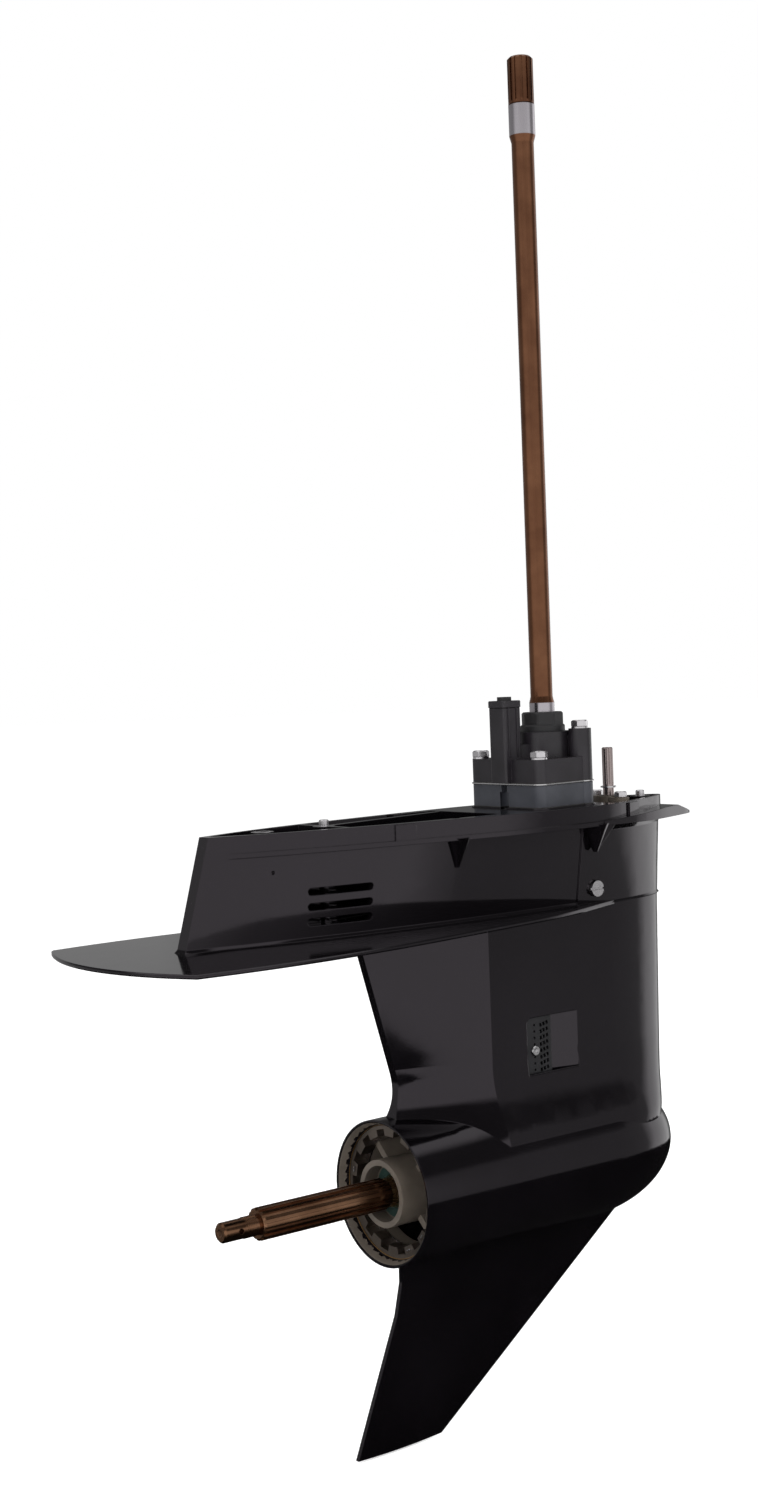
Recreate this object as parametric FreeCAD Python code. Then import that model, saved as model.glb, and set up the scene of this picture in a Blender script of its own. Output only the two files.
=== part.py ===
import FreeCAD, Part
import math
import os

# Outboard lower unit, millimetres.
# X points to the bow, Y to port and Z up the drive shaft.
# The origin is on the drive shaft's axis, in the face where the unit bolts to the leg above.

os.makedirs("parts", exist_ok=True)

V = FreeCAD.Vector
X_AXIS = V(1, 0, 0)
Y_AXIS = V(0, 1, 0)
Z_AXIS = V(0, 0, 1)
ORIGIN = V(0, 0, 0)

# General clearances; past is how far a cutter runs past the face that it opens
running_gap = 0.05
bolt_gap = 0.4
side_gap = 0.6
seat_sink = 0.5
past = 1.0

# Bevel gear set: one pinion drives two gears that face each other
module = 3.2
pinion_teeth = 14
gear_teeth = 28
pressure_angle = 22.5
face_width = 15.0
addendum_share = 0.9
dedendum_share = 1.2
backlash = 0.35
tooth_sink = 0.9
gear_pitch_radius = module * gear_teeth / 2
pinion_pitch_radius = module * pinion_teeth / 2
gear_cone_angle = math.atan2(gear_teeth, pinion_teeth)
pinion_cone_angle = math.pi / 2 - gear_cone_angle
cone_distance = gear_pitch_radius / math.sin(gear_cone_angle)

# Propeller shaft axis and the torpedo round it
prop_axis_z = -305.0
rim_x = -198.0
rim_radius = 60.3
torpedo_radius = 61.5
carrier_seat_length = 28.0
nose_x = 126.0
nose_start_x = 20.0
rim_wall = 1.6

# Deck flange, where the unit bolts on
deck_rear_x = -358.0
deck_front_x = 144.0
deck_half_width = 60.0
deck_thickness = 17.5
deck_band_height = 13.5
deck_band_inset = 2.5
deck_pad_length = 19.0
deck_pad_places = (-194.0, 66.0)
neck_fillet_height = 12.0
neck_fillet_reach = 6.0
recess_rim = 8.0
recess_rear_x = 40.0
recess_floor_z = -10.0
pump_pad_height = 1.0
pump_pad_margin = 2.5
clear_z = 3.0
beak_x = 180.0
beak_top_z = -9.5
beak_tip_z = -18.5
beak_tip_thickness = 1.0
beak_heel_x = 15.0
beak_rise_x = 112.0
beak_width_share = 0.97

# Body between the deck and the anti-ventilation plate
body_top_half_width = 50.0
body_foot_half_width = 36.0
body_rear_top_x = -357.0
body_rear_foot_x = -382.5
body_front_top_x = 137.0
body_front_x = 131.5
body_rear_half_width = 6.0
body_wall = 6.0
body_crease_x = -1.0
body_crease_step = 1.2
dimple_x = -308.0
dimple_z = -30.5
dimple_radius = 1.4
dimple_floor_y = 19.0
foot_fillet_height = 6.0
foot_fillet_reach = 3.0

# Anti-ventilation plate
plate_z = -89.5
plate_thickness = 3.4
plate_half_width = 107.5
plate_rear_x = -463.0
plate_corner_x = -435.0
plate_front_x = 135.2
plate_stern_share = 0.955
plate_edge_radius = 1.0

# Leg between the plate and the torpedo
leg_half_width = 34.0
leg_front_x = 129.0
leg_front_low_x = 126.0
leg_rear_top_x = -216.5
leg_rear_low_x = -179.5
leg_low_z = -215.0
leg_bend_height = 10.0
leg_tail_x = -102.0
leg_nose_x = 42.0
leg_trailing_half = 4.0
leg_wall = 7.0

# Skeg below the torpedo
skeg_bottom_z = -517.0
skeg_root_z = -352.0
skeg_root_front_x = 92.0
skeg_root_rear_x = -181.0
skeg_tip_front_x = -144.0
skeg_tip_rear_x = -233.0
skeg_root_half = 7.5
skeg_tip_half = 3.6
skeg_trailing_half = 1.8
skeg_leading_half = 0.8
skeg_crown_share = 0.55

# Bore of the torpedo
carrier_radius = 52.4
bore_radius = carrier_radius + running_gap
gear_room_radius = 51.0
gear_room_front_x = 33.5
nut_step = 2.1
nut_radius = carrier_radius + nut_step
nut_wall = 9.0
nut_inner_radius = nut_radius - nut_wall
nut_thickness = 12.0
nut_rear_x = -188.0
nut_notch_count = 14
nut_notch_width = 10.0
nut_notch_depth = 5.5
washer_thickness = 1.2
washer_gap = 0.4
washer_inset = 0.5
mouth_taper = 0.3

# Forward bearing and the shift room in front of it
hub_radius = 22.0
forward_bearing_radius = 40.0
forward_bearing_length = 20.0
shift_room_radius = 30.0
shift_room_front_x = 98.0
guide_radius = 7.0
guide_depth = 18.0

# Gears and dog clutch
gear_web_x = 18.0
gear_back_x = 32.0
gear_hub_end_x = 54.0
gear_rim_step = 4.5
gear_web_margin = 3.0
bush_wall = 3.0
pinion_rim_step = 5.0
pinion_back = 2.6
jaw_count = 8
jaw_share = 0.36
jaw_outer_radius = 20.0
jaw_inner_radius = 15.2
jaw_height = 5.0
clutch_half_length = 11.0
clutch_gap = 2.0
clutch_engagement = 4.0
clutch_travel = clutch_gap + clutch_engagement
clutch_groove_depth = 1.6
clutch_groove_width = 5.0
clutch_pin_radius = 2.9
spline_gap = 0.12

# Propeller shaft
shaft_radius = 14.0
shaft_front_x = 48.0
shaft_bore_radius = 6.1
shaft_spline_count = 10
shaft_spline_depth = 1.6
shaft_spline_width = 3.4
prop_spline_radius = 13.0
prop_spline_root = 11.6
prop_neck_radius = 11.1
prop_neck_length = 2.0
prop_spline_count = 15
prop_spline_front_x = -196.0
prop_spline_rear_x = -323.0
thrust_cone_x = -183.0
prop_thread_radius = 8.0
prop_tip_x = -357.0
cotter_x = -342.0
cotter_radius = 2.3
tip_chamfer = 1.5

# Slider inside the propeller shaft
slider_radius = 6.0
slider_neck_radius = 5.0
slider_head_radius = 8.5
slider_shoulder_x = 58.0
slider_neck_x = 62.0
slider_head_x = 67.0
slider_front_x = 71.0
slider_tail = 3.0
clutch_slot_end_gap = 0.5
clutch_slot_gap = 0.2

# Bearing carrier
carrier_front_x = -34.0
carrier_flange_x = -62.0
carrier_tube_radius = 27.8
carrier_mouth_radius = 23.0
carrier_ring_length = 13.0
carrier_ring_wall = 6.0
carrier_rib_count = 4
carrier_rib_thickness = 6.0
carrier_rib_front_x = -112.0
carrier_cone_length = 14.0
carrier_bore_step = 1.5
carrier_relief = 6.0
carrier_relief_step = 4.0
reverse_bearing_length = 16.0
needle_radius = 19.0
needle_length = 24.0
needle_rear_x = -166.0
seal_radius = 22.0
seal_width = 8.0
seal_gap = 0.5
seal_inset = 14.0
o_ring_radius = 1.6
o_ring_gap = 0.3
o_ring_squeeze = 0.1
o_ring_sides = 8

# Shift rod and its cam
shift_x = 78.0
shift_rod_radius = 4.9
shift_rod_top_z = 46.0
shift_spline_bottom_z = 13.0
shift_spline_count = 12
shift_bore_radius = 8.0
circlip_z = 10.0
circlip_thickness = 1.4
circlip_radius = 7.0
circlip_opening = 4.0
shift_angle = 35.0
crank_radius = clutch_travel / math.sin(math.radians(shift_angle))
crank_pin_radius = 2.5
crank_pin_gap = 0.35
cam_radius = 16.0
cam_thickness = 6.0
cam_height = 17.0
follower_height = 15.0
follower_depth = 12.0
cam_bottom_z = prop_axis_z + cam_height
follower_top_z = prop_axis_z + follower_height
follower_bottom_z = prop_axis_z - follower_depth
follower_front_x = 90.0
follower_port_y = 11.0
follower_starboard_y = -16.0
follower_gap = 0.3
crank_pin_length = 10.0
crank_slot_land = 0.6
cam_hub_height = 5.0
rod_chamfer = 0.8
flute_radius = 0.55
flute_offset = 0.1

# Drive shaft
drive_top_z = 644.0
drive_top_chamfer = 2.0
drive_spline_length = 40.0
drive_land_length = 27.0
drive_land_cone = 6.0
drive_spline_bottom_z = drive_top_z - drive_spline_length
drive_land_bottom_z = drive_spline_bottom_z - drive_land_length
spline_run_out = 4.0
spline_space_share = 0.8
drive_land_radius = 11.25
drive_spline_radius = 11.1
drive_spline_root = 9.7
drive_spline_count = 14
drive_body_radius = 9.6
drive_journal_radius = 10.9
drive_journal_top_z = 89.0
drive_cone_length = 5.5
drive_bearing_radius = 12.0
drive_lower_radius = 11.0
pinion_journal_radius = 12.5
pinion_seat_radius = 10.5
pinion_thread_radius = 7.5
pinion_nut_height = 8.0
pinion_nut_flats = 22.0
drive_bore_radius = 16.0
drive_step = 2.0
drive_end_chamfer = 1.2
thread_past_nut = 1.0

# Drive shaft bearings
upper_bearing_radius = 26.0
upper_bearing_length = 22.0
lower_bearing_radius = 19.0
lower_bearing_length = 28.0
lower_bearing_bottom_z = -257.0
pinion_room_radius = 28.0
shim_thickness = 0.6
shim_wall = 4.0
roller_gap = 0.02
roller_end_gap = 1.5
race_share = 0.27
upper_rollers = 10
lower_rollers = 12
hub_rollers = 14
needle_rollers = 12

# Water pump
pump_bolt_rear_x = -40.0
pump_bolt_rear_y = 37.0
pump_bolt_front_x = 14.5
pump_bolt_front_y = 31.0
pump_bolt_radius = 3.0
pump_ear_radius = 7.5
pump_boss_radius = 9.8
pump_block_radius = 33.0
base_height = 20.0
spigot_length = 22.0
pilot_step = 1.0
gasket_thickness = 0.5
wear_plate_thickness = 1.0
wear_plate_margin = 1.2
pump_block_top_z = 42.0
pump_front_top_z = 66.0
pump_dome_radius = 24.5
pump_dome_top_z = 64.0
tower_x = -44.0
tower_size = 20.0
tower_top_z = 92.0
tower_bore_radius = 6.5
collar_radius = 19.4
collar_top_z = 81.0
liner_outer_radius = 29.0
liner_wall = 1.5
liner_height = 18.5
liner_offset = 1.6
impeller_tip_radius = 24.8
impeller_hub_radius = 15.5
impeller_vanes = 6
impeller_vane_width = 4.2
impeller_height = 16.0
bolt_head_flats = 13.0
bolt_head_height = 5.5
pump_washer_radius = 7.2
pump_washer_thickness = 1.6
pump_bolt_reach = 14.0
impeller_gap = 0.4
impeller_key_width = 4.0
impeller_key_depth = 2.5
impeller_key_inset = 2.0
base_seal_radius = 17.0
base_seal_height = 8.0
base_seal_depth = 17.5
base_seal_gap = 0.5
water_port_radius = 6.5
pump_inlet_radius = 3.5
pump_inlet_x = -21.0
channel_depth = 7.0
tower_corner_radius = 2.5
tower_step_z = 86.0
tower_step = 0.8
shaft_hole_step = 1.0
tower_floor = 6.0
outlet_width = 10.0
outlet_floor = 6.0
outlet_roof = 3.0
outlet_reach = 4.0
bridge_width = 14.0
bridge_drop = 10.0
wing_width = 14.0
wing_drop = 4.0
housing_bore_step = 1.5
grommet_inner_radius = 4.2
grommet_length = 12.0
grommet_lip_height = 3.5
grommet_lip_step = 0.4
boot_skirt_height = 5.0
boot_step = 1.2
boot_chamfer = 1.5
boot_flats = 8
boot_flat_depth = 2.2
boot_flat_turn = 12.0

# Deck fittings
deck_bolt_rear_x = -140.0
deck_bolt_rear_y = 42.0
deck_bolt_front_x = 12.0
deck_bolt_front_y = 48.0
deck_hole_radius = 4.25
deck_hole_depth = 24.0
deck_boss_radius = 12.5
deck_boss_tip_radius = 2.0
deck_boss_tip_z = -40.0
gusset_length = 26.0
gusset_thickness = 4.0
dowel_radius = 4.0
dowel_rear_x = -242.0
dowel_front_x = 118.0
dowel_height = 5.0
dowel_depth = 12.0
dowel_chamfer = 0.8
dowel_boss_wall = 5.0
tab_bolt_x = -302.0
tab_bolt_radius = 5.25
tab_boss_radius = 9.0

# Shift rod retainer
retainer_floor_z = -12.0
retainer_top_z = 3.0
retainer_radius = 13.0
retainer_ear_dx = 4.0
retainer_ear_dy = 19.0
retainer_ear_radius = 7.5
retainer_bolt_radius = 3.0
retainer_bolt_flats = 10.0
retainer_bolt_reach = 14.0
retainer_bolt_head = 5.0
retainer_ear_step = 1.0
retainer_pocket_margin = 3.0
retainer_spigot_length = 8.0
shift_seal_radius = 8.5
shift_seal_height = 6.0

# Chamber, gallery and openings in the sides
chamber_front_x = -92.0
chamber_floor_z = -76.0
web_thickness = 5.0
spine_top_z = -6.0
brace_angle = 12.0
duct_rear_x = -158.0
duct_front_x = -78.0
gallery_rear_x = -62.0
gallery_front_x = -36.0
gallery_half_width = 15.0
gallery_top_z = -14.0
gallery_floor_rise = 6.0
window_margin = 8.0
window_rear_step = 3.0
window_front_step = 1.0
slot_count = 3
slot_length = 58.0
slot_height = 6.0
slot_pitch = 12.0
slot_centre_x = -250.0
slot_top_z = -45.0
slot_inner_y = 8.0
screen_rear_x = -62.0
screen_front_x = -33.0
screen_top_z = -176.0
screen_bottom_z = -233.0
screen_thickness = 2.6
screen_depth = 1.2
ramp_front_x = -3.0
screen_screw_radius = 2.5
screen_screw_x = -52.5
screen_screw_head = 1.8
screen_corner_radius = 5.0
screen_gap = 0.3
screen_border = 4.0
screen_side_border = 3.2
screen_screw_land = 5.0
screen_slot_step = 5.5
screen_slot_share = 0.56
screen_hole_radius = 1.1
screen_rows = 9
screen_columns = 3
screen_rib = 1.0
screen_slot_angle = 12.0
screen_nut_flats = 7.0
screen_nut_height = 2.6

# Plugs
plug_radius = 5.0
plug_head_radius = 7.0
plug_head_height = 3.5
plug_length = 9.0
plug_gasket_thickness = 1.0
plug_gasket_step = 0.4
plug_slot_depth = 1.6
plug_slot_width = 1.8
plug_face_depth = 30.0
plug_x = 20.0
plug_z = -73.0
plug_seat_y = -37.0
drain_x = 60.0
drain_z = prop_axis_z - 40.0
drain_seat_y = 37.0
plug_places = ((plug_x, plug_z, plug_seat_y, -1), (drain_x, drain_z, drain_seat_y, 1))

# Places that follow from the sizes above
crank_pin_bottom_z = follower_top_z - crank_pin_length
pinion_back_z = prop_axis_z + cone_distance * math.cos(pinion_cone_angle) + pinion_back
pinion_small_z = prop_axis_z + (cone_distance - face_width) * math.cos(pinion_cone_angle)
lower_bearing_top_z = lower_bearing_bottom_z + lower_bearing_length
seal_rear_x = rim_x + seal_inset
needle_front_x = needle_rear_x + needle_length
o_ring_x = (carrier_front_x + carrier_flange_x) / 2
base_bottom_z = pump_pad_height + gasket_thickness
base_top_z = base_height
plate_bottom_z = base_top_z + gasket_thickness
plate_top_z = plate_bottom_z + wear_plate_thickness
housing_bottom_z = plate_top_z + gasket_thickness
impeller_bottom_z = housing_bottom_z + impeller_gap
base_seal_bottom_z = base_top_z - base_seal_depth
screen_middle_z = (screen_top_z + screen_bottom_z) / 2
screen_middle_x = (screen_rear_x + screen_front_x) / 2
pump_bolt_places = ((pump_bolt_rear_x, -pump_bolt_rear_y), (pump_bolt_front_x, -pump_bolt_front_y),
                    (pump_bolt_front_x, pump_bolt_front_y), (pump_bolt_rear_x, pump_bolt_rear_y))
pilot_radius = upper_bearing_radius + pilot_step
retainer_ears = ((shift_x - retainer_ear_dx, -retainer_ear_dy),
                 (shift_x + retainer_ear_dx, retainer_ear_dy))


def box(x0, x1, y0, y1, z0, z1):
    return Part.makeBox(x1 - x0, y1 - y0, z1 - z0, V(x0, y0, z0))


def rod_z(radius, z0, z1, x=0.0, y=0.0):
    return Part.makeCylinder(radius, z1 - z0, V(x, y, z0), Z_AXIS)


def ring_z(outer, inner, z0, z1, x=0.0, y=0.0):
    return rod_z(outer, z0, z1, x, y).cut(rod_z(inner, z0, z1, x, y))


def rod_x(radius, x0, x1, y=0.0, z=prop_axis_z):
    return Part.makeCylinder(radius, x1 - x0, V(x0, y, z), X_AXIS)


def ring_x(outer, inner, x0, x1):
    return rod_x(outer, x0, x1).cut(rod_x(inner, x0, x1))


def rod_y(radius, y0, y1, x, z):
    return Part.makeCylinder(radius, y1 - y0, V(x, y0, z), Y_AXIS)


def polygon(points):
    return Part.makePolygon(list(points) + [points[0]])


def prism(points, direction):
    return Part.Face(polygon(points)).extrude(direction)


def hexagon(flats, z0, z1, x, y):
    corner = flats / math.sqrt(3.0)
    points = []
    for step in range(6):
        angle = math.radians(60.0 * step)
        points.append(V(x + corner * math.cos(angle), y + corner * math.sin(angle), z0))
    return prism(points, V(0, 0, z1 - z0))


def revolve_x(profile):
    # The profile is (x, radius) pairs round the propeller shaft's axis.
    points = [V(x, 0, prop_axis_z + radius) for x, radius in profile]
    return Part.Face(polygon(points)).revolve(V(0, 0, prop_axis_z), X_AXIS, 360)


def revolve_z(profile, x=0.0):
    # The profile is (radius, z) pairs round a vertical axis.
    points = [V(x + radius, 0, z) for radius, z in profile]
    return Part.Face(polygon(points)).revolve(V(x, 0, 0), Z_AXIS, 360)


def around_x(shape, count, start=0.0):
    copies = []
    for step in range(count):
        copy = shape.copy()
        copy.rotate(V(0, 0, prop_axis_z), X_AXIS, start + 360.0 * step / count)
        copies.append(copy)
    return copies


def around_z(shape, count, start=0.0):
    copies = []
    for step in range(count):
        copy = shape.copy()
        copy.rotate(ORIGIN, Z_AXIS, start + 360.0 * step / count)
        copies.append(copy)
    return copies


def mirror_y(shape):
    return shape.mirror(ORIGIN, Y_AXIS)


def both_sides(shape):
    return [shape, mirror_y(shape)]


def between(first, last, share):
    return first + (last - first) * share


# Gear teeth

def involute(angle):
    return math.tan(angle) - angle


def tooth_profile(teeth, cone_angle):
    # Half-tooth stations in the plane that touches the back cone: (distance along, half width).
    back_radius = cone_distance * math.tan(cone_angle)
    virtual_teeth = teeth / math.cos(cone_angle)
    alpha = math.radians(pressure_angle)
    base_radius = back_radius * math.cos(alpha)
    root_radius = back_radius - dedendum_share * module
    tip_radius = back_radius + addendum_share * module
    half_angle = math.pi / (2 * virtual_teeth) - backlash / (4 * back_radius)
    start_radius = max(base_radius, root_radius)
    middle_radius = (start_radius + tip_radius) / 2
    stations = []
    for radius in (start_radius, middle_radius, tip_radius):
        local = math.acos(min(1.0, base_radius / radius))
        angle = half_angle + involute(alpha) - involute(local)
        stations.append((radius * math.cos(angle) - back_radius, radius * math.sin(angle)))
    first_half_width = stations[0][1]
    foot = (root_radius - tooth_sink - back_radius, first_half_width)
    return [foot] + stations


def bevel_tooth(teeth, cone_angle):
    # One tooth on the +X side of a gear whose apex is the origin and whose axis is +Z.
    stations = tooth_profile(teeth, cone_angle)
    pitch = V(cone_distance * math.sin(cone_angle), 0, cone_distance * math.cos(cone_angle))
    along = V(math.cos(cone_angle), 0, -math.sin(cone_angle))
    outline = [pitch + along * reach + Y_AXIS * half for reach, half in stations]
    outline += [pitch + along * reach - Y_AXIS * half for reach, half in reversed(stations)]
    shrink = (cone_distance - face_width) / cone_distance
    inner = [point * shrink for point in outline]
    return Part.makeLoft([polygon(outline), polygon(inner)], True, True)


def cone_point(cone_angle, distance, height):
    # (radius, z) of a point at a distance along the pitch cone and a height above it.
    radius = distance * math.sin(cone_angle) + height * math.cos(cone_angle)
    z = distance * math.cos(cone_angle) - height * math.sin(cone_angle)
    return radius, z


def root_line(cone_angle):
    outer = cone_point(cone_angle, cone_distance, -dedendum_share * module)
    shrink = (cone_distance - face_width) / cone_distance
    inner = (outer[0] * shrink, outer[1] * shrink)
    return inner, outer


def bevel_gear(teeth, cone_angle, rest_of_profile, start_angle):
    # The blank's profile starts at the root line, then follows rest_of_profile back to it.
    inner, outer = root_line(cone_angle)
    points = [V(r, 0, z) for r, z in [inner, outer] + rest_of_profile]
    blank = Part.Face(polygon(points)).revolve(ORIGIN, Z_AXIS, 360)
    tooth = bevel_tooth(teeth, cone_angle)
    gear = blank.fuse(around_z(tooth, teeth, start_angle))
    return gear.removeSplitter()


def place_on_prop_axis(shape, towards_bow):
    # Turns a gear's +Z axis to +X or -X and puts its apex on the propeller shaft's axis.
    shape.rotate(ORIGIN, Y_AXIS, 90 if towards_bow else -90)
    shape.translate(V(0, 0, prop_axis_z))
    return shape


def jaw_ring(x_root, x_tip, start_angle):
    # Dog jaws: sectors of a ring between two planes across the propeller shaft.
    x0 = min(x_root, x_tip)
    x1 = max(x_root, x_tip)
    ring = ring_x(jaw_outer_radius, jaw_inner_radius, x0, x1)
    half = math.radians(180.0 * jaw_share / jaw_count)
    reach = jaw_outer_radius + past
    wedge = prism([V(x0, 0, prop_axis_z),
                   V(x0, -reach * math.tan(half), prop_axis_z + reach),
                   V(x0, reach * math.tan(half), prop_axis_z + reach)], V(x1 - x0, 0, 0))
    jaw = ring.common(wedge)
    return around_x(jaw, jaw_count, start_angle)


# Housing outlines

def plan_wire(z, rear_x, front_x, rear_half, half_width, shape):
    # A closed outline seen from above. shape lists (share of length, share of half width).
    length = front_x - rear_x
    side = [V(rear_x, rear_half, z)]
    side += [V(rear_x + length * along, half_width * wide, z) for along, wide in shape]
    points = side + [V(front_x, 0, z)] + [V(p.x, -p.y, z) for p in reversed(side)]
    curve = Part.BSplineCurve()
    curve.interpolate(points)
    closing = Part.makeLine(points[-1], points[0])
    return Part.Wire([curve.toShape(), closing])


DECK_SHAPE = ((0.06, 0.28), (0.18, 0.54), (0.38, 0.82), (0.56, 0.99), (0.71, 0.99), (0.83, 0.78),
              (0.94, 0.36))
BODY_TOP_SHAPE = ((0.06, 0.32), (0.18, 0.63), (0.38, 0.92), (0.56, 1.0), (0.71, 0.99), (0.83, 0.83),
                  (0.94, 0.46))
BODY_FOOT_SHAPE = ((0.06, 0.26), (0.18, 0.56), (0.38, 0.88), (0.56, 1.0), (0.71, 1.0), (0.83, 0.90),
                   (0.94, 0.58))
PLATE_SHAPE = ((0.12, 1.0), (0.34, 0.93), (0.54, 0.76), (0.72, 0.56), (0.86, 0.29))

# How the leg swells onto the torpedo: share of the way down, then how far the rear and the front
# move aft, then share of the way out to the torpedo's radius and what the trailing edge gains.
FLARE_SHAPE = ((0.06, 0.0, 0.5, 0.02, 0.0), (0.26, 3.0, 3.0, 0.18, 1.0), (0.46, 10.0, 7.0, 0.47, 9.0),
               (0.83, 6.5, 14.0, 0.67, 26.0))

# How the skeg rakes: share of the way down and share of the trailing edge's move aft
SKEG_SHAPE = ((0.0, 0.0), (0.18, 0.01), (0.34, 0.13), (0.62, 0.50), (1.0, 1.0))


def body_wire(z, inset):
    # The body's section at one height: it leans in and aft on its way down to the plate.
    share = z / plate_z
    rear_x = between(body_rear_top_x, body_rear_foot_x, share) + inset
    front_x = between(body_front_top_x, body_front_x, share) - inset
    half_width = between(body_top_half_width, body_foot_half_width, share) - inset
    shape = [(along, between(top, foot, share))
             for (along, top), (_, foot) in zip(BODY_TOP_SHAPE, BODY_FOOT_SHAPE)]
    return plan_wire(z, rear_x, front_x, max(body_rear_half_width - inset, past), half_width, shape)


def make_body():
    # Ahead of the crease the sides stand a step prouder.
    low_z = -deck_thickness / 2
    bow = Part.makeLoft([body_wire(low_z, -body_crease_step), body_wire(plate_z, -body_crease_step)],
                        True, True)
    bow = bow.common(box(body_crease_x, beak_x, -deck_half_width, deck_half_width, plate_z, low_z))
    return [Part.makeLoft([body_wire(0.0, 0.0), body_wire(plate_z, 0.0)], True, True), bow]


def body_fillet(root_z, rise, reach):
    # The body spreads in a hollow curve where it meets the plate or the deck.
    return Part.makeLoft([body_wire(root_z, -reach), body_wire(root_z + rise * 0.4, -reach * 0.3),
                          body_wire(root_z + rise, seat_sink)], True, False)


def make_body_fillets():
    neck = body_fillet(seat_sink - deck_thickness, -neck_fillet_height, neck_fillet_reach)
    neck = neck.common(box(body_crease_x, beak_x, -deck_half_width, deck_half_width, plate_z, 0.0))
    return [body_fillet(plate_z + plate_thickness / 2, foot_fillet_height, foot_fillet_reach), neck]


def deck_wire(z, inset):
    return plan_wire(z, deck_rear_x + inset, deck_front_x - inset, body_rear_half_width,
                     deck_half_width - inset, DECK_SHAPE)


def make_deck():
    # An upright band carries the face, with a wider lip under it and pads level with the lip.
    band = Part.Face(deck_wire(0.0, deck_band_inset)).extrude(V(0, 0, -deck_thickness))
    lip = Part.Face(deck_wire(-deck_band_height, 0.0)).extrude(V(0, 0, deck_band_height - deck_thickness))
    full = Part.Face(deck_wire(-past, seat_sink)).extrude(V(0, 0, -deck_band_height))
    half = deck_pad_length / 2
    pads = [full.common(box(x - half, x + half, -deck_half_width, deck_half_width, -deck_thickness, 0.0))
            for x in deck_pad_places]
    return [band, lip] + pads


def deck_recess():
    # The floor between the pump and the bow is sunk inside a rim, with a boss left round the dowel.
    room = Part.Face(deck_wire(recess_floor_z, recess_rim)).extrude(V(0, 0, past - recess_floor_z))
    room = room.common(box(recess_rear_x, deck_front_x, -deck_half_width, deck_half_width,
                           recess_floor_z, past))
    return room.cut(rod_z(dowel_radius + dowel_boss_wall, recess_floor_z, past, dowel_front_x, 0.0))


def make_beak():
    # The lip grows forward into a flat wedge that parts the spray.
    side_y = -deck_half_width
    profile = prism([V(beak_heel_x, side_y, -deck_band_height), V(beak_rise_x, side_y, beak_top_z),
                     V(deck_front_x, side_y, beak_top_z), V(beak_x, side_y, beak_tip_z),
                     V(beak_x, side_y, beak_tip_z - beak_tip_thickness),
                     V(beak_heel_x, side_y, -deck_thickness)], V(0, 2 * deck_half_width, 0))
    wire = plan_wire(0.0, deck_rear_x, beak_x, body_rear_half_width,
                     deck_half_width * beak_width_share, DECK_SHAPE)
    plan = Part.Face(wire).extrude(V(0, 0, beak_tip_z - beak_tip_thickness - past))
    return plan.common(profile)


def plate_wire(z, inset):
    length = plate_front_x - plate_corner_x - inset
    half_width = plate_half_width - inset
    side = [V(plate_corner_x + inset, half_width * plate_stern_share, z)]
    side += [V(plate_corner_x + inset + length * along, half_width * wide, z)
             for along, wide in PLATE_SHAPE]
    points = side + [V(plate_front_x - inset, 0, z)] + [V(p.x, -p.y, z) for p in reversed(side)]
    curve = Part.BSplineCurve()
    curve.interpolate(points)
    stern = Part.Arc(points[-1], V(plate_rear_x + inset, 0, z), points[0])
    return Part.Wire([curve.toShape(), stern.toShape()])


def make_plate():
    # The edge is eased above and below by an equal bevel.
    top_z = plate_z + plate_thickness
    wires = [plate_wire(plate_z, plate_edge_radius), plate_wire(plate_z + plate_edge_radius, 0.0),
             plate_wire(top_z - plate_edge_radius, 0.0), plate_wire(top_z, plate_edge_radius)]
    return Part.makeLoft(wires, True, True)


def leg_wire(z, rear_x, front_x, half_width, trailing_half):
    # Straight tail, flat middle and a half-elliptical nose.
    rear = V(rear_x, trailing_half, z)
    tail = V(leg_tail_x, half_width, z)
    shoulder = V(leg_nose_x, half_width, z)
    ellipse = Part.Ellipse(V(front_x, 0, z), shoulder, V(leg_nose_x, 0, z))
    nose = Part.ArcOfEllipse(ellipse, -math.pi / 2, math.pi / 2)

    def opposite(point):
        return V(point.x, -point.y, z)

    return Part.Wire([Part.makeLine(rear, tail), Part.makeLine(tail, shoulder), nose.toShape(),
                      Part.makeLine(opposite(shoulder), opposite(tail)),
                      Part.makeLine(opposite(tail), opposite(rear)),
                      Part.makeLine(opposite(rear), rear)])


def make_leg():
    # A straight strut, then a flare that swells onto the torpedo.
    rear_slope = (leg_rear_low_x - leg_rear_top_x) / (plate_z - leg_low_z)
    bend_z = leg_low_z + leg_bend_height
    bend_x = leg_rear_low_x - rear_slope * leg_bend_height
    top = leg_wire(plate_z + plate_thickness / 2, leg_rear_top_x, leg_front_x, leg_half_width,
                   leg_trailing_half)
    bend = leg_wire(bend_z, bend_x, leg_front_low_x, leg_half_width, leg_trailing_half)
    strut = Part.makeLoft([top, bend], True, True)
    sections = [bend]
    for down, rear_shift, front_shift, out, widening in FLARE_SHAPE:
        half_width = between(leg_half_width, torpedo_radius, out)
        sections.append(leg_wire(between(leg_low_z, prop_axis_z, down), leg_rear_low_x - rear_shift,
                                 leg_front_low_x - front_shift, half_width, leg_trailing_half + widening))
    return [strut, Part.makeLoft(sections, True, False)]


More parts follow.
